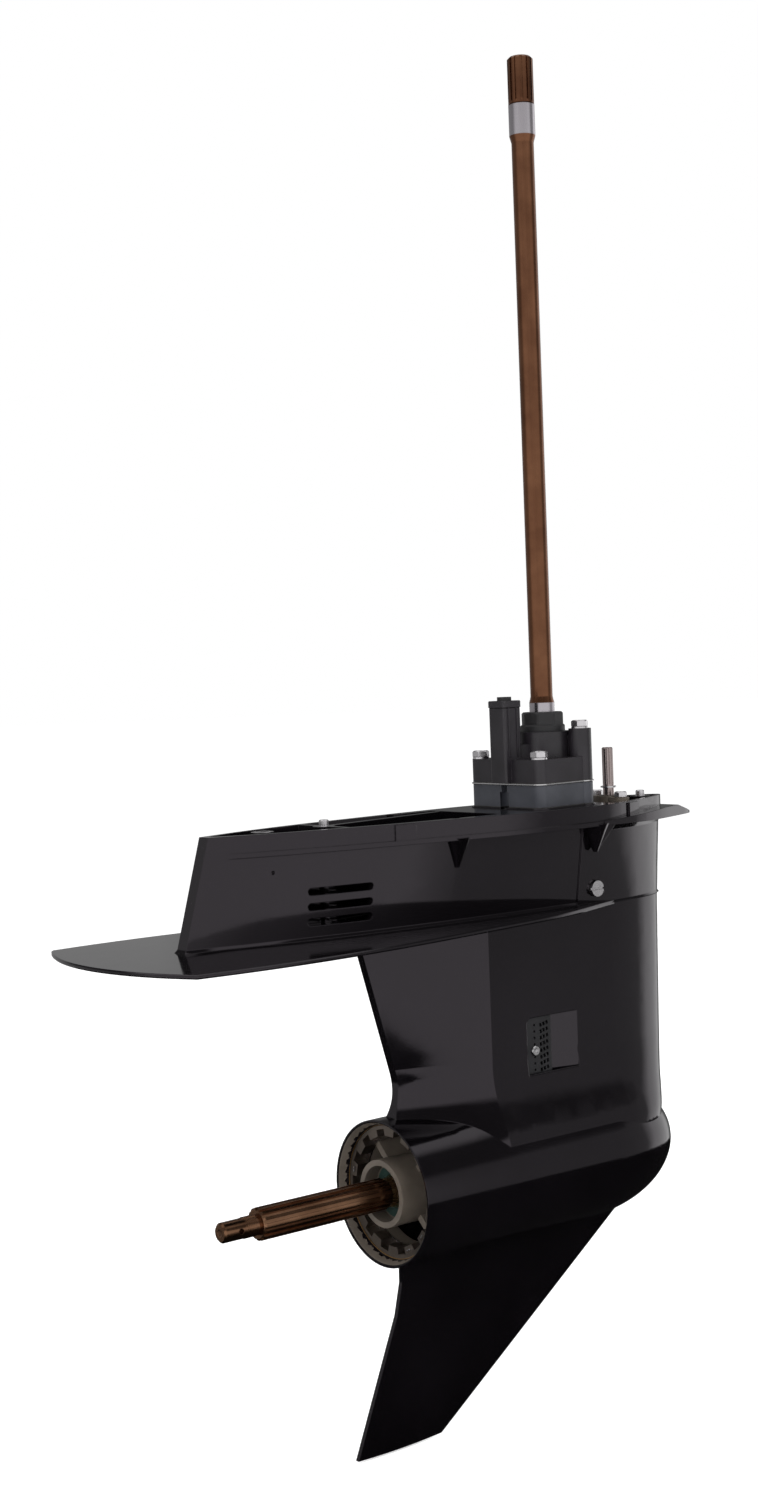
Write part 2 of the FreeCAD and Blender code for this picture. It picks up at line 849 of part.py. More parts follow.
def make_torpedo():
    # A barely tapered body that ends in half an ellipse.
    foot = V(nose_start_x, 0, prop_axis_z)
    top = V(nose_start_x, 0, prop_axis_z + torpedo_radius)
    ellipse = Part.Ellipse(V(nose_x, 0, prop_axis_z), top, foot)
    nose = Part.ArcOfEllipse(ellipse, 0.0, math.pi / 2).toShape()
    middle = V(rim_x / 2, 0, prop_axis_z + torpedo_radius)
    rim = V(rim_x, 0, prop_axis_z + rim_radius)
    centre = V(rim_x, 0, prop_axis_z)
    lines = [Part.makeLine(top, middle), Part.makeLine(middle, rim), Part.makeLine(rim, centre),
             Part.makeLine(centre, V(nose_x, 0, prop_axis_z))]
    return Part.Face(Part.Wire([nose] + lines)).revolve(V(0, 0, prop_axis_z), X_AXIS, 360)


def skeg_wire(z, rear_x, front_x, half, trailing_half):
    # A thin lens: each side is one shallow arc, blunt at the back and sharp in front.
    crown_x = between(rear_x, front_x, skeg_crown_share)
    edges = []
    for side in (1, -1):
        arc = Part.Arc(V(rear_x, side * trailing_half, z), V(crown_x, side * half, z),
                       V(front_x, side * skeg_leading_half, z))
        edges.append(arc.toShape())
    bow = Part.makeLine(V(front_x, skeg_leading_half, z), V(front_x, -skeg_leading_half, z))
    stern = Part.makeLine(V(rear_x, -trailing_half, z), V(rear_x, trailing_half, z))
    return Part.Wire([edges[0], bow, edges[1], stern])


def make_skeg():
    # The leading edge is straight. The trailing edge stands up at the root and then rakes aft.
    sections = []
    for share, rake in SKEG_SHAPE:
        sections.append(skeg_wire(between(skeg_root_z, skeg_bottom_z, share),
                                  between(skeg_root_rear_x, skeg_tip_rear_x, rake),
                                  between(skeg_root_front_x, skeg_tip_front_x, share),
                                  between(skeg_root_half, skeg_tip_half, share), skeg_trailing_half))
    return Part.makeLoft(sections, True, True)


def pump_pad():
    # The pump's seat stands a little proud of the deck's face.
    return pump_slab(pump_pad_margin, -deck_thickness / 2, pump_pad_height)


def deck_bosses():
    bosses = []
    top_z = -(deck_band_height + deck_thickness) / 2
    for x, y in ((deck_bolt_rear_x, deck_bolt_rear_y), (deck_bolt_front_x, deck_bolt_front_y)):
        cone = Part.makeCone(deck_boss_tip_radius, deck_boss_radius, top_z - deck_boss_tip_z,
                             V(x, y, deck_boss_tip_z))
        bosses += both_sides(cone)
    # A web runs forward from each front boss.
    web = prism([V(x, y - gusset_thickness / 2, deck_boss_tip_z), V(x, y - gusset_thickness / 2, top_z),
                 V(x + gusset_length, y - gusset_thickness / 2, top_z)], V(0, gusset_thickness, 0))
    bosses += both_sides(web)
    return bosses


def deck_bolt_holes():
    holes = []
    for x, y in ((deck_bolt_rear_x, deck_bolt_rear_y), (deck_bolt_front_x, deck_bolt_front_y)):
        holes += both_sides(rod_z(deck_hole_radius, -deck_hole_depth, past, x, y))
    return holes


def chamber():
    # The exhaust room under the rear deck, open at the top, with cast webs across it.
    room = Part.makeLoft([body_wire(past, body_wall), body_wire(chamber_floor_z, body_wall)], True, False)
    room = room.common(box(body_rear_foot_x, chamber_front_x, -deck_half_width, deck_half_width,
                           chamber_floor_z, past))
    web_x = dowel_rear_x
    web = box(web_x - web_thickness / 2, web_x + web_thickness / 2, -deck_half_width, deck_half_width,
              chamber_floor_z, 0.0)
    pad = rod_z(dowel_radius + dowel_boss_wall, chamber_floor_z, 0.0, web_x, 0.0)
    tube = rod_z(tab_boss_radius, chamber_floor_z, 0.0, tab_bolt_x, 0.0)
    spine = box(tab_bolt_x, web_x, -web_thickness / 2, web_thickness / 2, chamber_floor_z, spine_top_z)
    brace = box(web_x, chamber_front_x, -web_thickness / 2, web_thickness / 2, chamber_floor_z, 0.0)
    brace.rotate(V(web_x, 0, 0), Z_AXIS, brace_angle)
    return room.cut([web, pad, tube, spine, brace])


def duct():
    # Carries exhaust down inside the leg to the ring round the bearing carrier.
    inner = leg_half_width - leg_wall
    slope = (leg_half_width - leg_trailing_half) / (leg_tail_x - leg_rear_low_x)
    rear_half = inner - (leg_tail_x - duct_rear_x) * slope
    top_z = chamber_floor_z + past
    outline = [V(duct_rear_x, rear_half, top_z), V(leg_tail_x, inner, top_z),
               V(duct_front_x, inner, top_z), V(duct_front_x, -inner, top_z),
               V(leg_tail_x, -inner, top_z), V(duct_rear_x, -rear_half, top_z)]
    return prism(outline, V(0, 0, prop_axis_z - top_z))


def torpedo_bore():
    profile = [
        (rim_x - past, 0.0), (rim_x - past, rim_radius - rim_wall + mouth_taper),
        (nut_rear_x, nut_radius + running_gap),
        (nut_rear_x + nut_thickness, nut_radius + running_gap),
        (nut_rear_x + nut_thickness, bore_radius), (carrier_flange_x + carrier_seat_length, bore_radius),
        (carrier_flange_x + carrier_seat_length, gear_room_radius), (gear_room_front_x, gear_room_radius),
        (gear_room_front_x, forward_bearing_radius + running_gap),
        (gear_room_front_x + forward_bearing_length, forward_bearing_radius + running_gap),
        (gear_room_front_x + forward_bearing_length, shift_room_radius),
        (shift_room_front_x, shift_room_radius), (shift_room_front_x, guide_radius + running_gap),
        (shift_room_front_x + guide_depth, guide_radius + running_gap),
        (shift_room_front_x + guide_depth, 0.0),
    ]
    return revolve_x(profile)


def drive_bore():
    upper_floor = -spigot_length - shim_thickness - upper_bearing_length
    lower_top = lower_bearing_bottom_z + lower_bearing_length
    profile = [
        (0.0, clear_z), (pilot_radius + running_gap, clear_z), (pilot_radius + running_gap, -spigot_length),
        (upper_bearing_radius + running_gap, -spigot_length),
        (upper_bearing_radius + running_gap, upper_floor), (drive_bore_radius, upper_floor),
        (drive_bore_radius, lower_top), (lower_bearing_radius + running_gap, lower_top),
        (lower_bearing_radius + running_gap, lower_bearing_bottom_z),
        (pinion_room_radius, lower_bearing_bottom_z), (pinion_room_radius, prop_axis_z),
        (0.0, prop_axis_z),
    ]
    return revolve_z(profile)


def shift_bore():
    return rod_z(shift_bore_radius, prop_axis_z, past, shift_x, 0.0)


def shift_pocket():
    # The low floor that the rod's retainer is bolted to.
    pocket = rod_z(retainer_radius + retainer_pocket_margin, retainer_floor_z, past, shift_x, 0.0)
    ears = [rod_z(retainer_ear_radius + retainer_pocket_margin, retainer_floor_z, past, x, y)
            for x, y in retainer_ears]
    return pocket.fuse(ears)


def gallery():
    # Cooling water rises from the side screens to the pump base.
    shaft = box(gallery_rear_x, gallery_front_x, -gallery_half_width, gallery_half_width,
                screen_bottom_z + gallery_floor_rise, gallery_top_z)
    port = rod_z(water_port_radius, gallery_top_z - past, clear_z, tower_x, 0.0)
    window = box(gallery_rear_x + window_rear_step, gallery_front_x - window_front_step,
                 -leg_half_width - past, leg_half_width + past,
                 screen_bottom_z + window_margin, screen_top_z - window_margin)
    return shaft.fuse([window, port])


def screen_recess():
    # A seat for the screen and a ramp that leads water into it.
    face_y = leg_half_width
    seat_y = face_y - screen_thickness - screen_depth
    seat = screen_block(0.0, seat_y, face_y + past)
    ramp = prism([V(screen_front_x, seat_y, screen_bottom_z), V(ramp_front_x, face_y, screen_bottom_z),
                  V(ramp_front_x, face_y + past, screen_bottom_z),
                  V(screen_front_x, face_y + past, screen_bottom_z)],
                 V(0, 0, screen_top_z - screen_bottom_z))
    return seat.fuse(ramp)


def screen_block(gap, y0, y1):
    # The screen's outline, rounded at its two rear corners.
    block = box(screen_rear_x + gap, screen_front_x - gap, y0, y1, screen_bottom_z + gap,
                screen_top_z - gap)
    rear = [edge for edge in block.Edges
            if edge.BoundBox.YLength > past and edge.BoundBox.XMax < screen_middle_x]
    return block.makeFillet(screen_corner_radius - gap, rear)


def side_slots():
    cutters = []
    radius = slot_height / 2
    for step in range(slot_count):
        z = slot_top_z - step * slot_pitch - radius
        x0 = slot_centre_x - slot_length / 2 + radius
        x1 = slot_centre_x + slot_length / 2 - radius
        bar = box(x0, x1, slot_inner_y, deck_half_width, z - radius, z + radius)
        bar = bar.fuse([rod_y(radius, slot_inner_y, deck_half_width, x, z) for x in (x0, x1)])
        cutters += both_sides(bar)
    return cutters


def plug_seats():
    # Threaded holes with a flat faced round each.
    cutters = []
    for x, z, seat_y, side in plug_places:
        near = seat_y - side * (plug_length + past)
        far = seat_y + side * plug_face_depth
        cutters.append(rod_y(plug_radius + running_gap, min(near, seat_y), max(near, seat_y), x, z))
        cutters.append(rod_y(plug_head_radius + side_gap, min(seat_y, far), max(seat_y, far), x, z))
    return cutters


def pump_stud_holes():
    return [rod_z(pump_bolt_radius + running_gap, -pump_bolt_reach - past, clear_z, x, y)
            for x, y in pump_bolt_places]


def retainer_stud_holes():
    return [rod_z(retainer_bolt_radius + running_gap, retainer_floor_z - retainer_bolt_reach - past,
                  past, x, y) for x, y in retainer_ears]


def body_dimple():
    # A small blind hole in the starboard side.
    return rod_y(dimple_radius, -deck_half_width, -dimple_floor_y, dimple_x, dimple_z)


def make_housing():
    shell = make_torpedo().fuse(make_leg() + make_body() + make_body_fillets() + make_deck()
                                + [make_skeg(), make_plate(), make_beak(), pump_pad()] + deck_bosses())
    hollows = [chamber(), duct(), torpedo_bore(), drive_bore(), shift_bore(), shift_pocket(), gallery(),
               deck_recess(), body_dimple()]
    hollows += both_sides(screen_recess())
    hollows += side_slots() + deck_bolt_holes() + plug_seats() + pump_stud_holes() + retainer_stud_holes()
    hollows += [rod_z(dowel_radius, -dowel_depth, past, x, 0.0) for x in (dowel_rear_x, dowel_front_x)]
    hollows.append(rod_z(tab_bolt_radius, plate_z - past, past, tab_bolt_x, 0.0))
    return shell.cut(hollows)


# Deck and side fittings

def make_screen(side):
    # A plate with slots, a column of small holes and a screw hole.
    inner_y = leg_half_width - screen_depth - screen_thickness
    plate = screen_block(screen_gap, inner_y, inner_y + screen_thickness)
    cutters = [rod_y(screen_screw_radius + running_gap, 0, leg_half_width, screen_screw_x, screen_middle_z)]
    pitch = (screen_top_z - screen_bottom_z - 2 * screen_border) / screen_rows
    for row in range(screen_rows):
        z = screen_bottom_z + screen_border + pitch * (row + 0.5)
        if abs(z - screen_middle_z) > screen_screw_land:
            cutters.append(rod_y(screen_hole_radius, 0, leg_half_width, screen_screw_x, z))
        cutters += screen_slots(z, pitch * screen_slot_share)
    plate = plate.cut(cutters)
    return plate if side > 0 else mirror_y(plate)


def screen_slots(row_z, height):
    # One row of short slots that climbs towards the bow.
    rear_x = screen_screw_x + screen_slot_step
    pitch = (screen_front_x - screen_side_border - rear_x) / screen_columns
    half = (pitch - screen_rib) / 2
    slots = []
    for column in range(screen_columns):
        across = pitch * (column + 0.5 - screen_columns / 2)
        x = rear_x + pitch * (column + 0.5)
        z = row_z + across * math.tan(math.radians(screen_slot_angle))
        slot = box(x - half, x + half, 0, leg_half_width, z - height / 2, z + height / 2)
        slot.rotate(V(x, 0, z), Y_AXIS, -screen_slot_angle)
        slots.append(slot)
    return slots


def make_screen_screw():
    head_y = leg_half_width - screen_depth
    shank = rod_y(screen_screw_radius, -head_y, head_y - screen_gap, screen_screw_x, screen_middle_z)
    head = rod_y(screen_screw_radius + screen_screw_head, -head_y - screen_screw_head, -head_y,
                 screen_screw_x, screen_middle_z)
    return shank.fuse(head)


def make_screen_nut():
    head_y = leg_half_width - screen_depth
    nut = hexagon(screen_nut_flats, 0.0, screen_nut_height, 0.0, 0.0)
    nut.rotate(ORIGIN, X_AXIS, -90)
    nut.translate(V(screen_screw_x, head_y, screen_middle_z))
    return nut.cut(rod_y(screen_screw_radius + running_gap, 0, leg_half_width + screen_nut_height,
                         screen_screw_x, screen_middle_z))


def make_plug(x, z, seat_y, side):
    face = seat_y + side * plug_gasket_thickness
    near = seat_y - side * plug_length
    head = face + side * plug_head_height
    shank = rod_y(plug_radius, min(near, face), max(near, face), x, z)
    cap = rod_y(plug_head_radius, min(face, head), max(face, head), x, z)
    floor = head - side * plug_slot_depth
    slot = box(x - plug_head_radius, x + plug_head_radius, min(head, floor), max(head, floor),
               z - plug_slot_width / 2, z + plug_slot_width / 2)
    return shank.fuse(cap).cut(slot)


def make_plug_gasket(x, z, seat_y, side):
    face = seat_y + side * plug_gasket_thickness
    low = min(seat_y, face)
    high = max(seat_y, face)
    ring = rod_y(plug_head_radius - plug_gasket_step, low, high, x, z)
    return ring.cut(rod_y(plug_radius + running_gap, low, high, x, z))


def make_dowels():
    pins = []
    for x in (dowel_rear_x, dowel_front_x):
        pin = rod_z(dowel_radius, -dowel_depth, dowel_height, x, 0.0)
        pins.append(pin.makeChamfer(dowel_chamfer, pin.Edges))
    return pins


def roller_bearing(inner, outer, length, rollers):
    # Two rings and a full row of rollers along +Z from the origin.
    ring_wall = (outer - inner) * race_share
    race = outer - ring_wall
    track = inner + ring_wall
    roller_radius = (race - track) / 2 - roller_gap
    pitch_radius = (race + track) / 2
    solids_made = [ring_z(outer, race, 0.0, length), ring_z(track, inner + running_gap, 0.0, length)]
    roller = rod_z(roller_radius, roller_end_gap, length - roller_end_gap, pitch_radius, 0.0)
    return solids_made + around_z(roller, rollers)


def along_x(shapes, x0):
    moved = []
    for shape in shapes:
        shape.rotate(ORIGIN, Y_AXIS, 90)
        shape.translate(V(x0, 0, prop_axis_z))
        moved.append(shape)
    return moved


def raised(shapes, z0):
    for shape in shapes:
        shape.translate(V(0, 0, z0))
    return shapes


# Propeller shaft, bearing carrier and gears

def make_prop_shaft():
    front = shaft_front_x
    profile = [
        (front, 0.0), (front, shaft_radius - tip_chamfer), (front - tip_chamfer, shaft_radius),
        (thrust_cone_x, shaft_radius), (prop_spline_front_x + prop_neck_length, prop_neck_radius),
        (prop_spline_front_x, prop_neck_radius), (prop_spline_front_x - tip_chamfer, prop_spline_radius),
        (prop_spline_rear_x + tip_chamfer, prop_spline_radius), (prop_spline_rear_x, prop_neck_radius),
        (prop_spline_rear_x, prop_thread_radius),
        (prop_tip_x + tip_chamfer, prop_thread_radius), (prop_tip_x, prop_thread_radius - tip_chamfer),
        (prop_tip_x, 0.0),
    ]
    shaft = revolve_x(profile)
    width = math.pi * prop_spline_radius / prop_spline_count
    groove = box(prop_spline_rear_x - past, prop_spline_front_x + past, -width / 2, width / 2,
                 prop_axis_z + prop_spline_root, prop_axis_z + prop_spline_radius + past)
    shaft = shaft.cut(around_x(groove, prop_spline_count))
    reach = clutch_half_length + clutch_travel
    key_way = box(-reach, reach, -shaft_spline_width / 2, shaft_spline_width / 2,
                  prop_axis_z + shaft_radius - shaft_spline_depth, prop_axis_z + shaft_radius + past)
    shaft = shaft.cut(around_x(key_way, shaft_spline_count))
    slot_reach = clutch_travel + clutch_pin_radius + clutch_slot_end_gap
    slot_half = clutch_pin_radius + clutch_slot_gap
    slot = box(-slot_reach, slot_reach, -shaft_radius - past, shaft_radius + past,
               prop_axis_z - slot_half, prop_axis_z + slot_half)
    bore = rod_x(shaft_bore_radius, -slot_reach - slider_tail, front + past)
    cotter = rod_y(cotter_radius, -prop_thread_radius - past, prop_thread_radius + past, cotter_x,
                   prop_axis_z)
    return shaft.cut([slot, bore, cotter])


def make_side_gear(towards_bow):
    bush_radius = shaft_radius + bush_wall
    rest = [(gear_pitch_radius - gear_rim_step, gear_back_x), (hub_radius, gear_back_x),
            (hub_radius, gear_hub_end_x), (bush_radius, gear_hub_end_x),
            (bush_radius, gear_web_x), (jaw_outer_radius + gear_web_margin, gear_web_x)]
    gear = bevel_gear(gear_teeth, gear_cone_angle, rest, 180.0 / gear_teeth)
    gear = place_on_prop_axis(gear, towards_bow)
    side = 1 if towards_bow else -1
    tip = side * (gear_web_x - jaw_height)
    root = side * (gear_web_x + seat_sink)
    jaws = jaw_ring(root, tip, 0.0)
    bore_x0, bore_x1 = sorted((side * gear_web_x, side * (gear_hub_end_x + past)))
    return gear.fuse(jaws).cut(rod_x(bush_radius, bore_x0, bore_x1))


def make_gear_bush(towards_bow):
    x0, x1 = (gear_web_x, gear_hub_end_x) if towards_bow else (-gear_hub_end_x, -gear_web_x)
    return ring_x(shaft_radius + bush_wall, shaft_radius + running_gap, x0, x1)


def make_dog_clutch():
    root = clutch_half_length - jaw_height
    body = ring_x(jaw_outer_radius, shaft_radius + spline_gap, -root, root)
    key = box(-root, root, -shaft_spline_width / 2 + spline_gap, shaft_spline_width / 2 - spline_gap,
              prop_axis_z + shaft_radius - shaft_spline_depth + spline_gap,
              prop_axis_z + shaft_radius + past)
    half_pitch = 180.0 / jaw_count
    jaws = jaw_ring(root - seat_sink, clutch_half_length, half_pitch)
    jaws += jaw_ring(-root + seat_sink, -clutch_half_length, half_pitch)
    body = body.fuse(around_x(key, shaft_spline_count) + jaws)
    groove = ring_x(jaw_outer_radius + past, jaw_outer_radius - clutch_groove_depth,
                    -clutch_groove_width / 2, clutch_groove_width / 2)
    hole = rod_y(clutch_pin_radius, -jaw_outer_radius, jaw_outer_radius, 0.0, prop_axis_z)
    return body.cut([groove, hole])


def make_clutch_pin():
    reach = math.sqrt((jaw_outer_radius - clutch_groove_depth) ** 2 - clutch_pin_radius ** 2) - running_gap
    return rod_y(clutch_pin_radius, -reach, reach, 0.0, prop_axis_z)


def make_clutch_ring():
    return ring_x(jaw_outer_radius, jaw_outer_radius - clutch_groove_depth,
                  -clutch_groove_width / 2, clutch_groove_width / 2)


def make_shift_slider():
    profile = [
        (-clutch_pin_radius - slider_tail, 0.0), (-clutch_pin_radius - slider_tail, slider_radius),
        (slider_shoulder_x, slider_radius), (slider_shoulder_x, slider_head_radius),
        (slider_neck_x, slider_head_radius), (slider_neck_x, slider_neck_radius),
        (slider_head_x, slider_neck_radius), (slider_head_x, slider_head_radius),
        (slider_front_x, slider_head_radius), (slider_front_x, 0.0),
    ]
    slider = revolve_x(profile)
    return slider.cut(rod_y(clutch_pin_radius, -slider_radius - past, slider_radius + past, 0.0,
                            prop_axis_z))


def hook_slot(radius, x0, x1):
    # A slot open below that hangs over a round neck or head.
    round_part = rod_x(radius, x0, x1)
    return round_part.fuse(box(x0, x1, -radius, radius, follower_bottom_z - past, prop_axis_z))


def make_shift_follower():
    gap = follower_gap
    rear_x = slider_neck_x + gap
    block = box(rear_x, follower_front_x, follower_starboard_y, follower_port_y, follower_bottom_z,
                follower_top_z)
    stem = rod_x(guide_radius, follower_front_x - past, follower_front_x + guide_depth)
    neck = hook_slot(slider_neck_radius + gap, rear_x - past, slider_head_x)
    head = hook_slot(slider_head_radius + gap, slider_head_x - gap, slider_front_x + gap)
    half = crank_pin_radius + crank_pin_gap
    inner_y = crank_pin_radius + crank_slot_land - crank_radius * math.cos(math.radians(shift_angle))
    crank = box(shift_x - half, shift_x + half, follower_starboard_y - past, inner_y,
                crank_pin_bottom_z - past, follower_top_z + past)
    return block.fuse(stem).cut([neck, head, crank])


def make_shift_cam():
    hub_top_z = cam_bottom_z + cam_thickness + cam_hub_height
    disc = rod_z(cam_radius, cam_bottom_z, cam_bottom_z + cam_thickness, shift_x, 0.0)
    hub = rod_z(shift_bore_radius - side_gap, cam_bottom_z, hub_top_z, shift_x, 0.0)
    pin = rod_z(crank_pin_radius, crank_pin_bottom_z, cam_bottom_z + past, shift_x, -crank_radius)
    return disc.fuse([hub, pin]).cut(rod_z(shift_rod_radius, cam_bottom_z, hub_top_z, shift_x, 0.0))


def make_shift_rod():
    rod = rod_z(shift_rod_radius, cam_bottom_z + seat_sink, shift_rod_top_z, shift_x, 0.0)
    top = [edge for edge in rod.Edges if edge.BoundBox.ZMin > shift_rod_top_z - running_gap]
    rod = rod.makeChamfer(rod_chamfer, top)
    flute = rod_z(flute_radius, shift_spline_bottom_z, shift_rod_top_z + past,
                  shift_x + shift_rod_radius + flute_offset, 0.0)
    flutes = []
    for step in range(shift_spline_count):
        copy = flute.copy()
        copy.rotate(V(shift_x, 0, 0), Z_AXIS, 360.0 * step / shift_spline_count)
        flutes.append(copy)
    return rod.cut(flutes)


def make_circlip():
    ring = ring_z(circlip_radius, shift_rod_radius, circlip_z, circlip_z + circlip_thickness, shift_x, 0.0)
    return ring.cut(box(shift_x, shift_x + circlip_radius + past, -circlip_opening / 2,
                        circlip_opening / 2, circlip_z, circlip_z + circlip_thickness))


def make_retainer():
    top_z = retainer_top_z - retainer_ear_step
    body = rod_z(retainer_radius, retainer_floor_z, retainer_top_z, shift_x, 0.0)
    ears = [rod_z(retainer_ear_radius, retainer_floor_z, top_z, x, y) for x, y in retainer_ears]
    (x0, y0), (x1, y1) = retainer_ears
    across = V(y1 - y0, x0 - x1, 0).normalize() * retainer_ear_radius
    bar = prism([V(x0, y0, retainer_floor_z) + across, V(x1, y1, retainer_floor_z) + across,
                 V(x1, y1, retainer_floor_z) - across, V(x0, y0, retainer_floor_z) - across],
                V(0, 0, top_z - retainer_floor_z))
    spigot_z = retainer_floor_z - retainer_spigot_length
    spigot = rod_z(shift_bore_radius - running_gap, spigot_z, retainer_floor_z, shift_x, 0.0)
    body = body.fuse(ears + [bar, spigot])
    over_z = retainer_top_z + past
    cutters = [rod_z(shift_rod_radius + running_gap, spigot_z - past, over_z, shift_x, 0.0),
               rod_z(shift_seal_radius, retainer_top_z - shift_seal_height, over_z, shift_x, 0.0)]
    cutters += [rod_z(retainer_bolt_radius + bolt_gap, retainer_floor_z - past, over_z, x, y)
                for x, y in retainer_ears]
    return body.cut(cutters)


def make_retainer_bolts():
    bolts = []
    seat_z = retainer_top_z - retainer_ear_step
    for x, y in retainer_ears:
        head = hexagon(retainer_bolt_flats, seat_z, seat_z + retainer_bolt_head, x, y)
        shank = rod_z(retainer_bolt_radius, retainer_floor_z - retainer_bolt_reach, seat_z, x, y)
        bolts.append(head.fuse(shank))
    return bolts


def make_carrier():
    back = nut_rear_x + nut_thickness + washer_thickness
    ring_front = back + carrier_ring_length
    nose = carrier_front_x
    seat_x = nose - reverse_bearing_length
    tube_bore = shaft_radius + carrier_bore_step
    relief = hub_radius + carrier_relief_step
    hub = revolve_x([
        (nose, forward_bearing_radius + running_gap), (nose, carrier_radius),
        (carrier_flange_x, carrier_radius), (carrier_flange_x - carrier_cone_length, carrier_tube_radius),
        (rim_x, carrier_tube_radius), (rim_x, carrier_mouth_radius),
        (seal_rear_x, carrier_mouth_radius), (seal_rear_x, seal_radius),
        (seal_rear_x + 2 * seal_width, seal_radius), (seal_rear_x + 2 * seal_width, needle_radius),
        (needle_front_x, needle_radius), (needle_front_x, tube_bore),
        (seat_x - carrier_relief, tube_bore), (seat_x - carrier_relief, relief), (seat_x, relief),
        (seat_x, forward_bearing_radius + running_gap),
    ])
    ring = ring_x(carrier_radius, carrier_radius - carrier_ring_wall, back, ring_front)
    rib = box(back, carrier_rib_front_x, -carrier_rib_thickness / 2, carrier_rib_thickness / 2,
              prop_axis_z + carrier_tube_radius - past,
              prop_axis_z + carrier_radius - carrier_ring_wall + past)
    ribs = around_x(rib, carrier_rib_count, 180.0 / carrier_rib_count)
    groove_half = o_ring_radius + o_ring_gap
    groove = ring_x(carrier_radius + past, carrier_radius - 2 * o_ring_radius, o_ring_x - groove_half,
                    o_ring_x + groove_half)
    return hub.fuse([ring] + ribs).cut(groove)


def make_o_ring():
    # The cord's section is drawn as a regular polygon.
    centre = carrier_radius - o_ring_radius - o_ring_squeeze
    reach = o_ring_radius - o_ring_squeeze
    profile = []
    for step in range(o_ring_sides):
        angle = 2 * math.pi * (step + 0.5) / o_ring_sides
        profile.append((o_ring_x + reach * math.cos(angle), centre + reach * math.sin(angle)))
    return revolve_x(profile)


def make_cover_nut():
    x0 = nut_rear_x
    x1 = nut_rear_x + nut_thickness
    ring = ring_x(nut_radius, nut_inner_radius, x0, x1)
    notch = box(x0 - past, x1 + past, -nut_notch_width / 2, nut_notch_width / 2,
                prop_axis_z + nut_inner_radius - past, prop_axis_z + nut_inner_radius + nut_notch_depth)
    return ring.cut(around_x(notch, nut_notch_count, 180.0 / nut_notch_count))


def make_tab_washer():
    x0 = nut_rear_x + nut_thickness
    return ring_x(carrier_radius - washer_gap, nut_inner_radius + washer_inset, x0, x0 + washer_thickness)


# Drive shaft and what turns with it

def make_drive_shaft():
    thread_end_z = pinion_small_z - pinion_nut_height - thread_past_nut
    bearing_bottom_z = -spigot_length - upper_bearing_length - drive_step
    tip_radius = drive_spline_root - (drive_spline_radius - drive_spline_root) / 2
    profile = [
        (0.0, drive_top_z), (tip_radius, drive_top_z),
        (drive_spline_radius, drive_top_z - drive_top_chamfer),
        (drive_spline_radius, drive_spline_bottom_z), (drive_land_radius, drive_spline_bottom_z - past),
        (drive_land_radius, drive_land_bottom_z),
        (drive_body_radius, drive_land_bottom_z - drive_land_cone),
        (drive_body_radius, drive_journal_top_z + drive_cone_length),
        (drive_journal_radius, drive_journal_top_z), (drive_journal_radius, -spigot_length),
        (drive_bearing_radius, -spigot_length - past), (drive_bearing_radius, bearing_bottom_z),
        (drive_lower_radius, bearing_bottom_z - drive_step),
        (drive_lower_radius, lower_bearing_top_z + 2 * drive_step),
        (pinion_journal_radius, lower_bearing_top_z + drive_step),
        (pinion_journal_radius, pinion_back_z), (pinion_seat_radius, pinion_back_z),
        (pinion_seat_radius, pinion_small_z), (pinion_thread_radius, pinion_small_z),
        (pinion_thread_radius, thread_end_z + drive_end_chamfer),
        (pinion_thread_radius - drive_end_chamfer, thread_end_z), (0.0, thread_end_z),
    ]
    return revolve_z(profile).cut(drive_splines() + [impeller_key_box()])


def drive_splines():
    # Tooth spaces that run out of the shaft in a short slope at their lower end.
    half = math.pi * drive_spline_radius / drive_spline_count * spline_space_share / 2
    foot_z = drive_spline_bottom_z + spline_run_out
    over = drive_spline_radius + past
    groove = box(drive_spline_root, over, -half, half, foot_z, drive_top_z + past)
    ramp = prism([V(drive_spline_root, -half, foot_z), V(over, -half, foot_z),
                  V(over, -half, drive_spline_bottom_z - past)], V(0, 2 * half, 0))
    return around_z(groove.fuse(ramp), drive_spline_count)


def impeller_key_box():
    return box(drive_journal_radius - impeller_key_depth, drive_journal_radius + impeller_key_depth,
               -impeller_key_width / 2, impeller_key_width / 2, impeller_bottom_z + impeller_key_inset,
               impeller_bottom_z + impeller_height - impeller_key_inset)


def make_impeller():
    top_z = impeller_bottom_z + impeller_height
    hub = rod_z(impeller_hub_radius, impeller_bottom_z, top_z)
    tip_centre = impeller_tip_radius - impeller_vane_width / 2
    vane = box(impeller_hub_radius - past, tip_centre, -impeller_vane_width / 2, impeller_vane_width / 2,
               impeller_bottom_z, top_z)
    vane = vane.fuse(rod_z(impeller_vane_width / 2, impeller_bottom_z, top_z, tip_centre, 0.0))
    wheel = hub.fuse(around_z(vane, impeller_vanes, 180.0 / impeller_vanes))
    return wheel.cut([rod_z(drive_journal_radius, impeller_bottom_z, top_z), impeller_key_box()])


def make_pinion():
    top = pinion_back_z - prop_axis_z
    bottom = pinion_small_z - prop_axis_z
    rest = [(pinion_pitch_radius - pinion_rim_step, top), (pinion_seat_radius, top),
            (pinion_seat_radius, bottom)]
    gear = bevel_gear(pinion_teeth, pinion_cone_angle, rest, 0.0)
    gear.translate(V(0, 0, prop_axis_z))
    return gear


def make_pinion_nut():
    nut = hexagon(pinion_nut_flats, pinion_small_z - pinion_nut_height, pinion_small_z, 0.0, 0.0)
    return nut.cut(rod_z(pinion_thread_radius, pinion_small_z - pinion_nut_height, pinion_small_z))


# Water pump

